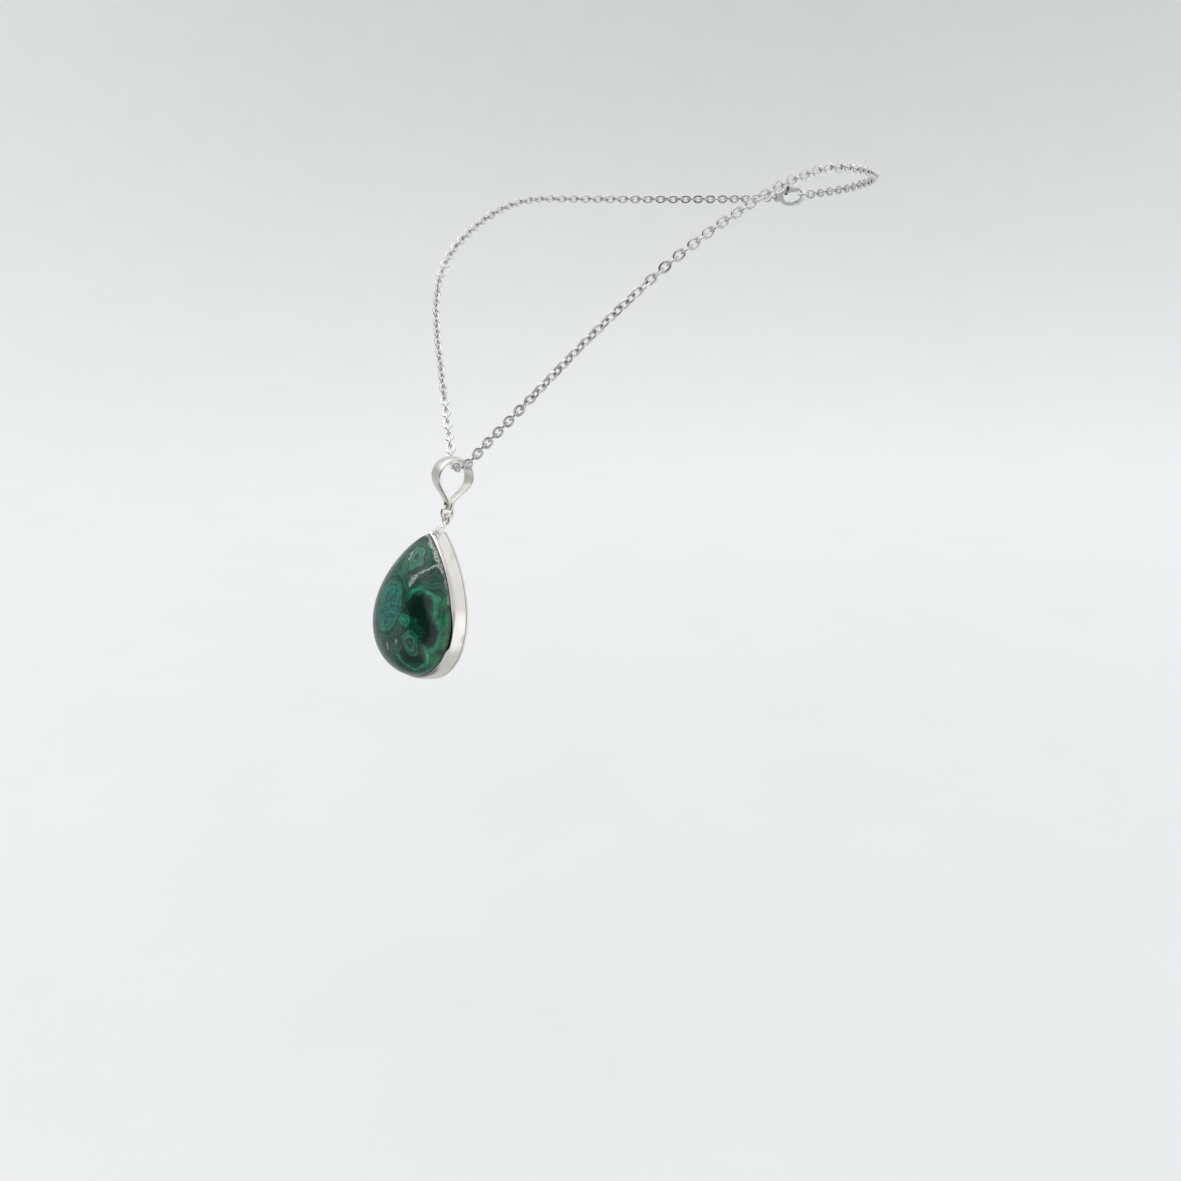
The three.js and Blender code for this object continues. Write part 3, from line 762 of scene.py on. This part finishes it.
def malachite():
    material, graph, shader, place = new_material("polished_malachite")
    from_crown = seen_from(graph, place, DROP_FRAME @ Matrix.Translation(CROWN))
    spot = over_surface(graph, from_crown)
    pattern = warped(graph, spot, from_crown)
    swell = scallops(graph, spot)
    lobe = graph.mix(graph.noise(spot, 0.5, detail=4), LOBE_DARK, LOBE_GREEN)

    distance, brightness = nearest_orb(graph, pattern, GROUND_ORBS)
    colour = banded_ground(graph, graph.minus(distance, swell))
    layers = [
        (FAINT_ORBS, FAINT_RINGS, RING_GREEN, GROUND_GREEN),
        (PALE_ORBS, PALE_RINGS, RING_PALE, GROUND_DARK),
        (TEAL_ORBS, TEAL_RINGS, RING_TEAL, teal_core(graph, spot)),
        (DARK_ORBS, DARK_RINGS, RING_GREEN, lobe),
        (BRIGHT_ORBS, BRIGHT_RINGS, RING_GREEN, SPECK_DARK),
    ]
    for orbs, rings, ring_colour, centre in layers:
        distance, brightness = nearest_orb(graph, pattern, orbs)
        distance = graph.minus(distance, swell)
        painted = ringed(graph, spot, colour, distance, brightness, rings, ring_colour, centre)
        reach = rings[-1][0]
        colour = graph.mix(graph.smooth(distance, reach, reach - 0.2), colour, painted)

    cloud = graph.smooth(graph.noise(spot, 0.3, detail=3), 0.35, 0.7, 0.75, 1.15)
    colour = graph.vector("SCALE", colour, scale=cloud)
    streaks = graph.smooth(graph.noise(spot, 1.1, detail=4, roughness=0.65), 0.34, 0.56, 0.35, 1.0)
    glow = graph.times(patches(graph, pattern, GLOW_PATCHES), streaks)
    colour = graph.mix(glow, colour, GLOW_GREEN)
    colour, pale = crystals(graph, spot, pattern, colour)

    # Painted shade and dark reflection of the bezel: the colour darkens to a fifth over the last millimetre
    # before the bezel's front.
    axes = graph.add("ShaderNodeSeparateXYZ")
    graph.feed(axes, Vector=from_crown)
    below_rim = graph.minus(axes.outputs["Y"], DOME_HEIGHT)
    rim_shade = graph.smooth(below_rim, -1.2, -0.1, 1.0, 0.2)
    polish = graph.smooth(graph.noise(spot, 0.8, detail=4), 0.3, 0.8, 0.06, 0.13)
    roughness = graph.plus(polish, graph.times(pale, CRYSTAL_ROUGHNESS))
    shaded = graph.vector("SCALE", colour, scale=rim_shade)
    graph.feed(shader, Base_Color=shaded, Roughness=roughness, IOR=STONE_IOR)
    ripple = graph.times(graph.noise(spot, 0.35, detail=2), RIPPLE_DEPTH)
    bump(graph, shader, graph.plus(ripple, graph.times(pale, -PIT_DEPTH)))
    return material


# ---------------- mesh helpers


def loft(rings, closed_path=False):
    """A skin over rings of points, all as long as each other. An open path is left open at both ends."""
    count = len(rings[0])
    points = [tuple(p) for ring in rings for p in ring]
    faces = []
    steps = len(rings) if closed_path else len(rings) - 1
    for i in range(steps):
        here, there = i * count, (i + 1) % len(rings) * count
        for j in range(count):
            k = (j + 1) % count
            faces.append((here + j, here + k, there + k, there + j))
    return points, faces


def circle(radius, count):
    """Points round a circle, as pairs."""
    turns = [2 * math.pi * i / count for i in range(count)]
    return [(radius * math.cos(t), radius * math.sin(t)) for t in turns]


def beside(items, i):
    """The items before and after one, or that one itself where the list ends."""
    return items[max(0, i - 1)], items[min(len(items) - 1, i + 1)]


def capped(rings):
    """An open loft with a flat or pointed cap at each end."""
    points, faces = loft(rings)
    count = len(rings[0])
    faces.append(tuple(range(count)))
    last = len(points) - count
    faces.append(tuple(last + i for i in range(count)))
    return points, faces


def joined(parts):
    """Several (points, faces) as one."""
    points, faces = [], []
    for part_points, part_faces in parts:
        start = len(points)
        points += part_points
        faces += [tuple(start + i for i in face) for face in part_faces]
    return points, faces


def new_mesh(name, shape):
    """A mesh from (points, faces), with doubled points merged and every face turned outwards."""
    points, faces = shape
    mesh = bpy.data.meshes.new(name)
    mesh.from_pydata([tuple(p) for p in points], [], faces)
    tidy = bmesh.new()
    tidy.from_mesh(mesh)
    bmesh.ops.remove_doubles(tidy, verts=tidy.verts, dist=1e-5)
    bmesh.ops.recalc_face_normals(tidy, faces=tidy.faces)
    tidy.to_mesh(mesh)
    tidy.free()
    return mesh


def with_modifiers(mesh, *modifiers):
    """The mesh after these modifiers, each a (kind, settings) pair, while it is still in millimetres."""
    holder = in_scene("holder", mesh)
    for kind, settings in modifiers:
        modifier = holder.modifiers.new(kind.lower(), kind)
        for name, value in settings.items():
            setattr(modifier, name, value)
    graph = bpy.context.evaluated_depsgraph_get()
    made = bpy.data.meshes.new_from_object(holder.evaluated_get(graph))
    bpy.data.objects.remove(holder)
    return made


def add_piece(name, mesh, material, body, slot, placed=PART_FRAME, replaces=(), sharp_angle=38):
    """A piece from a mesh in millimetres: scaled to metres, placed, shaded, and tied to its body."""
    mesh.transform(Matrix.Scale(MM, 4) @ placed)
    mesh.name = name
    mesh.materials.clear()
    mesh.materials.append(material)
    mesh.shade_smooth()
    mesh.set_sharp_from_angle(angle=math.radians(sharp_angle))
    piece = in_scene(name, mesh)
    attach(piece, body)
    if replaces:
        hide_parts(*replaces)
    return piece


def rounded(half_width, half_height, power, count):
    """A superellipse of that many points, as (across, up) pairs. A higher power is squarer."""
    outline = []
    for i in range(count):
        angle = 2 * math.pi * i / count
        c, s = math.cos(angle), math.sin(angle)
        across = math.copysign(abs(c) ** (2 / power), c) * half_width
        up = math.copysign(abs(s) ** (2 / power), s) * half_height
        outline.append((across, up))
    return outline


def bezier(corners, count):
    """Points along a cubic curve from its four corners, without its end."""
    points = []
    for i in range(count):
        t = i / count
        weights = ((1 - t) ** 3, 3 * t * (1 - t) ** 2, 3 * t * t * (1 - t), t**3)
        points.append(tuple(sum(w * value for w, value in zip(weights, axis)) for axis in zip(*corners)))
    return points


def blend_value(low, high, value):
    """Smoothly from 0 at low to 1 at high."""
    t = min(1.0, max(0.0, (value - low) / (high - low)))
    return t * t * (3 - 2 * t)


# ---------------- chain


def catmull_rom(points, steps):
    """Points along a centripetal Catmull-Rom curve through the given ones."""
    ends = [2 * points[0] - points[1], *points, 2 * points[-1] - points[-2]]
    curve = []
    for p0, p1, p2, p3 in zip(ends, ends[1:], ends[2:], ends[3:]):
        t1 = (p1 - p0).length ** 0.5
        t2 = t1 + (p2 - p1).length ** 0.5
        t3 = t2 + (p3 - p2).length ** 0.5
        for i in range(steps):
            t = t1 + (t2 - t1) * i / steps
            a1 = p0.lerp(p1, t / t1)
            a2 = p1.lerp(p2, (t - t1) / (t2 - t1))
            a3 = p2.lerp(p3, (t - t2) / (t3 - t2))
            b1 = a1.lerp(a2, t / t2)
            b2 = a2.lerp(a3, (t - t1) / (t3 - t1))
            curve.append(b1.lerp(b2, (t - t1) / (t2 - t1)))
    curve.append(points[-1])
    return curve


class Strand:
    """One side of the chain's route, measured in millimetres from the middle of the bail."""

    def __init__(self, side):
        right = [Vector(p) for p in ROUTE]
        left = [Vector((-x, y, z)) for x, y, z in reversed(ROUTE[1:])]
        whole = catmull_rom(left + right, 60)
        half = whole[len(whole) // 2 :]
        self.points = [Vector((side * p.x, p.y, p.z)) for p in half]
        self.distances = [0.0]
        for a, b in zip(self.points, self.points[1:]):
            self.distances.append(self.distances[-1] + (b - a).length)
        past_end = ROUTE[-1][0] - LAST_LINK_X[side]
        self.pitch = (self.distances[-1] + past_end) / LINKS_A_SIDE

    def at(self, distance):
        i = min(bisect_right(self.distances, distance), len(self.distances) - 1)
        a, b = self.points[i - 1], self.points[i]
        share = (distance - self.distances[i - 1]) / (self.distances[i] - self.distances[i - 1])
        return a + (b - a) * share

    def direction(self, distance):
        return (self.at(distance + self.pitch / 2) - self.at(distance - self.pitch / 2)).normalized()


def across(vector, axis):
    """The part of vector that is square to axis, one unit long."""
    return (vector - axis * vector.dot(axis)).normalized()


def strand_links(side, wobble):
    """(number, centre, axis, flat side's direction) of each link of one side past the bail."""
    strand = Strand(side)
    first = APEX_LINKS + 1
    axes = {k: strand.direction(k * strand.pitch) for k in range(first, LINKS_A_SIDE + 1)}
    carried = {first: across(FACING, axes[first])}
    for k in range(first + 1, LINKS_A_SIDE + 1):
        carried[k] = across(carried[k - 1], axes[k])
    # The last link lies flat, square to the end link that it hooks into, so the chain twists towards that.
    last = axes[LINKS_A_SIDE]
    wanted = across(Vector((0, 0, 1)), last)
    even = Matrix.Rotation(math.pi / 2 * (LINKS_A_SIDE % 2), 3, last) @ carried[LINKS_A_SIDE]
    twist = math.atan2(last.dot(even.cross(wanted)), even.dot(wanted))
    twist = (twist + math.pi / 2) % math.pi - math.pi / 2
    for k in range(first, LINKS_A_SIDE + 1):
        share = (k - first) / (LINKS_A_SIDE - first)
        loose = math.radians(wobble.uniform(-LOOSENESS, LOOSENESS)) * (1 - blend_value(0.9, 1.0, share))
        slack = SLACK_TWIST * blend_value(*SLACK_FROM, k) * blend_value(*SLACK_TO, k)
        roll = twist * blend_value(0.0, 1.0, share) + math.pi / 2 * (k % 2) + slack + loose
        yield k, strand.at(k * strand.pitch), axes[k], Matrix.Rotation(roll, 3, axes[k]) @ carried[k]


def link_shape(centre, axis, flat, length=LINK_LENGTH, width=LINK_WIDTH, wire=LINK_WIRE):
    """One oval link: flat is the direction that its flat side faces."""
    sideways = flat.cross(axis)
    half_length, half_width = (length - wire) / 2, (width - wire) / 2
    section = rounded(wire / 2, LINK_THICKNESS / 2, WIRE_SQUARENESS, 12)
    rings = []
    path = rounded(half_length, half_width, LINK_SQUARENESS, 32)
    for i, (along, out) in enumerate(path):
        before, after = path[i - 1], path[(i + 1) % len(path)]
        run = Vector((after[0] - before[0], after[1] - before[1])).normalized()
        normal = axis * run.y - sideways * run.x
        middle = centre + axis * along + sideways * out
        rings.append([middle + normal * a + flat * b for a, b in section])
    return loft(rings, closed_path=True)


def apex_links():
    """The three links inside the bail, crowded together where the two sides of the chain meet."""
    top = BAIL_FRAME.to_3x3() @ Vector((0, 0, 1))
    back = BAIL_FRAME.to_3x3() @ Vector((0, 1, 0))
    yield Vector(APEX_AT), Vector((1, 0, 0)), (top * 0.25 + back).normalized()
    for side in (1, -1):
        strand = Strand(side)
        axis = strand.direction(strand.pitch)
        yield strand.at(strand.pitch), axis, across(top * 0.9 - back * 0.25, axis)


def add_chain(material):
    wobble = random.Random(7)
    apex = joined(link_shape(*link) for link in apex_links())
    add_piece("chain_links_apex", new_mesh("apex", apex), material, "lower", "chain", replaces=["chain_apex"])
    for side_name, side in (("right", 1), ("left", -1)):
        links = list(strand_links(side, wobble))
        first = APEX_LINKS + 1
        for stretch, last, body in STRETCHES:
            shapes = [link_shape(*link[1:]) for link in links if first <= link[0] <= last]
            name = f"chain_links_{side_name}_{stretch}"
            mesh = new_mesh(name, joined(shapes))
            add_piece(name, mesh, material, body, "chain", replaces=[f"chain_{side_name}_{stretch}"])
            first = last + 1


# ---------------- bail

BAIL_STEPS = 30
KINK_Z = -3.6  # where the front leg leaves the bow, with a small crease
KINK_DEPTH = 0.09
KINK_WIDTH = 0.22
BAIL_CROWN = 0.16  # how far the outer face swells in its middle
BAIL_CROWN_FROM = -7.5  # height at which that swelling is full


def bail_path():
    """Middle of the ribbon in Y and Z, from the front leg's end over the top to the back leg's end."""
    half = (BAIL_DEPTH - BAIL_THICKNESS) / 2
    top = BAIL_TOP - BAIL_THICKNESS / 2
    leaf = BAIL_THICKNESS / 2 + 0.03
    widest = (-half, BAIL_WIDEST)
    bow = bezier([(0, top), (-half * BAIL_TOP_FLAT, top), (-half, top - BAIL_SHOULDER), widest], BAIL_STEPS)
    leg = bezier([widest, (-half, BAIL_BELLY), BAIL_WAIST, (-leaf, BAIL_LEAVES)], BAIL_STEPS)
    tab = [(-leaf, BAIL_LEAVES + (BAIL_END - BAIL_LEAVES) * (i / 14) ** 0.7) for i in range(15)]
    front = bow + leg + tab
    back = [(-y, z) for y, z in front[1:]]
    return list(reversed(front)) + back


def bail_width(z):
    """Width of the ribbon at a height: broad over the chain, narrow and round where it ends."""
    narrow = BAIL_END_WIDTH / 2
    taper = BAIL_WIDTH / 2 + (narrow - BAIL_WIDTH / 2) * blend_value(*BAIL_TAPER, z)
    below = max(0.0, BAIL_END + narrow - z)
    return 2 * taper * math.sqrt(max(0.001, 1 - (below / narrow) ** 2))


def bail_mesh():
    path = bail_path()
    rings = []
    for i, (y, z) in enumerate(path):
        before, after = beside(path, i)
        run = Vector((after[0] - before[0], after[1] - before[1])).normalized()
        outward = Vector((0, -run.y, run.x))
        half_width = bail_width(z) / 2
        thickness = BAIL_THICKNESS * (BAIL_THINNEST + (1 - BAIL_THINNEST) * blend_value(-9.5, -2, z))
        crease = KINK_DEPTH * math.exp(-(((z - KINK_Z) / KINK_WIDTH) ** 2)) if y < 0 else 0
        crown = BAIL_CROWN * blend_value(BAIL_END, BAIL_CROWN_FROM, z)
        ring = []
        for x, up in rounded(half_width, thickness / 2, BAIL_SQUARENESS, 28):
            side = x / half_width
            if up > 0:  # the outer face
                up += crown * (0.4 - side**2)
            if up > 0:
                up -= crease * blend_value(0.3, -0.9, side)
            ring.append(Vector((x, y, z)) + outward * up)
        rings.append(ring)
    mesh = new_mesh("bail", capped(rings))
    hole = new_mesh("hole", capped(drill(BAIL_HOLE_RADIUS, BAIL_DEPTH, BAIL_HOLE_Z)))
    cutter = in_scene("cutter", hole)
    cut = ("BOOLEAN", {"operation": "DIFFERENCE", "object": cutter, "solver": "EXACT"})
    edge = {"width": BAIL_EDGE, "segments": 2, "limit_method": "ANGLE", "angle_limit": math.radians(50)}
    made = with_modifiers(mesh, cut, ("BEVEL", edge))
    bpy.data.objects.remove(cutter)
    return made


def drill(radius, length, z):
    """Rings of a round rod along Y."""
    return [[(x, y, z + up) for x, up in circle(radius, 40)] for y in (-length / 2, length / 2)]


# ---------------- rings and eye

WIRE_STEPS = 72
WIRE_SIDES = 20


def wire_loop(radius, wire, axis, seam=0.0, seam_at=0.0, stretch=1.0):
    """A round wire bent into a ring whose hole looks along X, Y or Z, sawn through where it was closed."""
    rings = []
    for i in range(WIRE_STEPS + 1):
        angle = seam_at + seam / 2 + (2 * math.pi - seam) * i / WIRE_STEPS
        out = Vector((math.cos(angle), math.sin(angle) * stretch, 0))
        middle = out * radius
        out.normalize()
        rings.append([middle + out * side + Vector((0, 0, up)) for side, up in circle(wire / 2, WIRE_SIDES)])
    points, faces = capped(rings) if seam else loft(rings[:-1], closed_path=True)
    quarter = math.pi / 2
    turns = {"x": Matrix.Rotation(quarter, 4, "Y"), "y": Matrix.Rotation(quarter, 4, "X"), "z": PART_FRAME}
    return [turns[axis] @ Vector(p) for p in points], faces


def moved(shape, offset):
    return [Vector(p) + Vector(offset) for p in shape[0]], shape[1]


def tapered_rod(stations):
    """A rod over X = 0, with an elliptical section at each (Y, Z, half width in X, half width across)."""
    path = [Vector((0, y, z)) for y, z, *_ in stations]
    rings = []
    for i, (_, _, half_x, half_across) in enumerate(stations):
        before, after = beside(path, i)
        other = (after - before).normalized().cross(Vector((1, 0, 0))).normalized()
        section = circle(1, WIRE_SIDES)
        rings.append([path[i] + Vector((half_x * c, 0, 0)) + other * half_across * s for c, s in section])
    return capped(rings)


def rippled(mesh, depth, scale, seed):
    """Moves each vertex a little along its normal, as a hand-worked surface."""
    for vertex in mesh.vertices:
        lift = noise.noise(vertex.co * scale + Vector((seed, 0, 0)))
        vertex.co += vertex.normal * lift * depth


def recast(mesh, voxel, smoothing):
    """The mesh as one skin, its edges and joins rounded off by that many rounds of smoothing."""
    return with_modifiers(
        mesh,
        ("REMESH", {"mode": "VOXEL", "voxel_size": voxel}),
        ("SMOOTH", {"factor": 0.5, "iterations": smoothing}),
    )


def eye_mesh():
    """The eye: a wire loop whose legs run down together and are soldered on the tip of the wall."""
    loop = moved(wire_loop(EYE_RADIUS, EYE_WIRE, "y", stretch=EYE_STRETCH), (0, 0, -RING_RADIUS))
    mesh = new_mesh("eye", joined([loop, tapered_rod(EYE_STEM), tapered_rod(EYE_SOLDER)]))
    made = recast(mesh, 0.07, 6)
    rippled(made, 0.05, 1.6, 3.0)
    return made


# ---------------- setting and stone

PEAR_STEPS = 360
WAVE = 0.16  # how far the rim wanders, by hand work, in long waves and in short ones
FINE_WAVE = 0.05
# The plate's section from its front, round its filed edge and over its slightly hollow back: inset and Y.
PLATE_SECTION = [
    (3.0, PLATE_FRONT),
    (0.25, PLATE_FRONT),
    (0.06, PLATE_FRONT + 0.07),
    (0.0, 0.12),
    (0.05, 0.32),
    (0.2, PLATE_BACK - 0.05),
    (0.45, PLATE_BACK),
    (1.6, PLATE_BACK - 0.02),
    (5.0, PLATE_BACK - 0.05),
    (9.0, PLATE_BACK - 0.06),
]
# The stone's upright girdle: Y and share of its full width.
GIRDLE = [(STONE_BACK, 0.975), (STONE_BACK - 0.15, 0.992), (STONE_BACK - 0.5, 1.0), (-2.4, 1.0)]
DOME_LAYERS = 110
DOME_SQUARENESS = 2.4
DOME_RISE = 1.1


def pear(angle, inset=0.0, power=PEAR_POWER):
    """X and Z of the pear outline at an angle from its tip, inset from the setting's outside."""
    half_width = SETTING_WIDTH / 2 - inset
    height = SETTING_HEIGHT - 2.2 * inset
    widest = 2 * math.asin(math.sqrt((1 + power) / (2 + power)))
    width = abs(math.sin(angle / 2)) ** power * math.sin(angle)
    most = math.sin(widest / 2) ** power * math.sin(widest)
    return -half_width * width / most, SETTING_TOP - 1.2 * inset - height * (1 - math.cos(angle)) / 2


def pear_ring(inset, y, steps):
    """The pear outline at one depth."""
    outline = [pear(2 * math.pi * i / steps, inset) for i in range(steps)]
    return [(x, y, z) for x, z in outline]


GAP_FROM = 243  # degrees from the tip, on the viewer's right: the rim stands off the stone between these
GAP_TO = 279
GAP_OUT = 0.3
GAP_DOWN = 0.55
RIM_LIP = 0.3  # how far the rim stands past the wall's own front


def rim_gap(degrees):
    """How open the rim is at an angle: 0 where it is pressed on the stone, 1 where it stands off most."""
    return blend_value(GAP_FROM - 3, GAP_FROM + 3, degrees) * blend_value(GAP_TO, GAP_FROM + 10, degrees)


def bezel_mesh():
    """The wall: a strip bent round the stone, its rim thinned and burnished over by hand."""
    rings = []
    for i in range(PEAR_STEPS):
        degrees = 360 * i / PEAR_STEPS
        angle = math.radians(degrees)
        wave = noise.noise(Vector((math.cos(angle) * 2.2, math.sin(angle) * 2.2, 4.0)))
        fine = noise.noise(Vector((math.cos(angle) * 7, math.sin(angle) * 7, 9.0)))
        open_here = rim_gap(degrees)
        rim = WALL_FRONT - RIM_LIP + WAVE * wave + FINE_WAVE * fine + GAP_DOWN * open_here
        out = GAP_OUT * open_here
        lean = 0.06 * wave + 0.02 * fine
        back = PLATE_FRONT - 0.04
        section = [
            (0.10, back),
            (0.02, back - 0.12),
            (0.0, back - 0.5),
            (0.02 + lean, -1.4),
            (0.05 + lean, -2.4),
            (0.15 + lean, rim + 1.15),
            (0.29 - out * 0.4, rim + 0.66),
            (0.45 - out * 0.8, rim + 0.28),
            (0.60 - out, rim + 0.07),
            (0.72 - out, rim + 0.03),
            (0.79 - out, rim + 0.14),
            (0.76 - out, rim + 0.5),
            (0.70 - out * 0.5, rim + 1.2),
            (WALL_THICKNESS, -1.6),
            (WALL_THICKNESS, back),
        ]
        outline = [(pear(angle, inset), y) for inset, y in section]
        rings.append([(x, y, z) for (x, z), y in outline])
    mesh = new_mesh("bezel", loft(rings, closed_path=True))
    return with_modifiers(mesh, ("SUBSURF", {"levels": 1}))


def plate_mesh():
    """The plate soldered on behind, its edge filed round and its back very slightly hollow."""
    return new_mesh("plate", capped([pear_ring(inset, y, PEAR_STEPS // 2) for inset, y in PLATE_SECTION]))


def stone_mesh():
    """The stone: an upright girdle and a high dome, whose ridge below the tip fades towards the crown."""
    rings = [stone_ring(y, share) for y, share in GIRDLE]
    for i in range(DOME_LAYERS):
        angle = math.pi / 2 * i / DOME_LAYERS
        share = math.cos(angle) ** (2 / DOME_SQUARENESS)
        rings.append(stone_ring(WALL_FRONT - DOME_HEIGHT * math.sin(angle) ** DOME_RISE, share))
    points, faces = capped(rings)
    faces.pop()  # the dome closes on its crown, not on a flat cap
    top = len(points)
    last = top - PEAR_STEPS
    points.append(tuple(CROWN))
    faces += [(last + i, last + (i + 1) % PEAR_STEPS, top) for i in range(PEAR_STEPS)]
    return new_mesh("stone", (points, faces))


def stone_ring(y, share):
    """The stone's outline at one depth, drawn in towards the crown and rounder there."""
    ring = []
    for i in range(PEAR_STEPS):
        x, z = pear(2 * math.pi * i / PEAR_STEPS, STONE_INSET, PEAR_POWER * share**0.9)
        ring.append((x * share, y, CROWN.z + (z - CROWN.z) * share))
    return ring


def add_pendant(metals):
    silver = metals["setting_silver"]
    add_piece("bail_ribbon", bail_mesh(), metals["bail_silver"], "bail", "bail", BAIL_FRAME, ["bail"], 50)
    ring = new_mesh("ring", wire_loop(RING_RADIUS, RING_WIRE, "x", RING_SEAM, RING_SEAM_AT))
    add_piece("pendant_jump_ring", ring, silver, "ring", "setting", DROP_FRAME, ["jump_ring"])
    parts = [
        ("soldered_eye", eye_mesh(), silver, "setting", "bezel_eye"),
        ("burnished_bezel", bezel_mesh(), silver, "setting", "bezel_wall"),
        ("setting_back_plate", plate_mesh(), metals["plate_silver"], "setting", "back_plate"),
        ("malachite_cabochon", stone_mesh(), malachite(), "stone", "cabochon"),
    ]
    for name, mesh, material, slot, node in parts:
        add_piece(name, mesh, material, "pendant", slot, DROP_FRAME, [node])


# ---------------- clasp


def cast_copy(node, voxel, smoothing):
    """A copy of a CAD node as a casting: the same form in millimetres with its edges rounded off."""
    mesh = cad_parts[node].data.copy()
    mesh.transform(Matrix.Scale(1 / MM, 4))
    return recast(mesh, voxel, smoothing)


def pin_mesh():
    """The lever's pin with a peened head at each end."""
    half = PIN_LENGTH / 2
    neck = PIN_HEAD - half
    profile = [(0.05, -half), (0.3, 0.02 - half), (0.5, neck), (LEVER_PIN_RADIUS, neck + 0.02)]
    profile += [(radius, -y) for radius, y in reversed(profile)]
    middle_x, middle_z = LEVER_PIN
    rings = []
    for radius, y in profile:
        rings.append([(middle_x + x, y, middle_z + z) for x, z in circle(radius, 32)])
    return new_mesh("pin", capped(rings))


def spring_mesh():
    """The trigger spring: turns of wire round the pin with a leg on the lever and a leg in the body."""
    steps = 90
    x, z = LEVER_PIN
    first_y, last_y = SPRING_Y
    coil = []
    for i in range(steps + 1):
        angle = SPRING_FROM + 2 * math.pi * SPRING_TURNS * i / steps
        y = first_y + (last_y - first_y) * i / steps
        coil.append(Vector((x + SPRING_RADIUS * math.cos(angle), y, z + SPRING_RADIUS * math.sin(angle))))
    start_leg = (coil[0] - coil[1]).normalized() * SPRING_LEGS[0]
    end_leg = (coil[-1] - coil[-2]).normalized() * SPRING_LEGS[1]
    path = [coil[0] + start_leg, *coil, coil[-1] + end_leg]
    rings = []
    for i, point in enumerate(path):
        before, after = beside(path, i)
        run = (after - before).normalized()
        side = across(Vector((0, 1, 0)), run)
        up = run.cross(side)
        rings.append([point + side * a + up * b for a, b in circle(SPRING_WIRE / 2, 10)])
    return new_mesh("spring", capped(rings))


def add_clasp(steel, chain_steel):
    parts = [
        ("clasp_body_cast", cast_copy("clasp_body", 0.07, 20), "clasp", "clasp_body"),
        ("clasp_trigger", cast_copy("clasp_lever", 0.05, 14), "lever", "clasp_lever"),
        ("clasp_pin_peened", pin_mesh(), "clasp", "clasp_pin"),
        ("clasp_spring_wound", spring_mesh(), "clasp", "clasp_spring"),
    ]
    rings = [
        ("clasp_jump_ring", "clasp_ring", CLASP_RING_X, 240),
        ("catch_jump_ring", "catch_ring", CATCH_RING_X, 60),
    ]
    for name, node, x, seam_at in rings:
        shape = wire_loop(SMALL_RING_RADIUS, SMALL_RING_WIRE, "z", SEAM, math.radians(seam_at))
        parts.append((name, new_mesh(name, moved(shape, (x, 0, 0))), "shoulders", node))
    for name, mesh, body, node in parts:
        add_piece(name, mesh, steel, body, "clasp", replaces=[node])
    for node, x in END_LINKS.items():
        lying = Vector((x, 0, 0)), Vector((1, 0, 0)), Vector((0, 1, 0))
        shape = link_shape(*lying, END_LINK_LENGTH, END_LINK_WIDTH, END_LINK_WIRE)
        name = f"{node}_wire"
        add_piece(name, new_mesh(name, shape), chain_steel, "shoulders", "chain", replaces=[node])


# ---------------- the scene


def build():
    add_camera()
    add_floor()
    add_world()
    add_lights()
    bpy.context.scene.view_settings.view_transform = "Standard"
    metals = {name: metal_material(name, metal) for name, metal in METALS.items()}
    add_chain(metals["chain_steel"])
    add_pendant(metals)
    add_clasp(metals["clasp_steel"], metals["chain_steel"])


def write_size():
    boxes = {"cad": CAD_BOX, "visual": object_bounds()}
    {name: [list(corner) for corner in box] for name, box in boxes.items()}


build()
write_size()
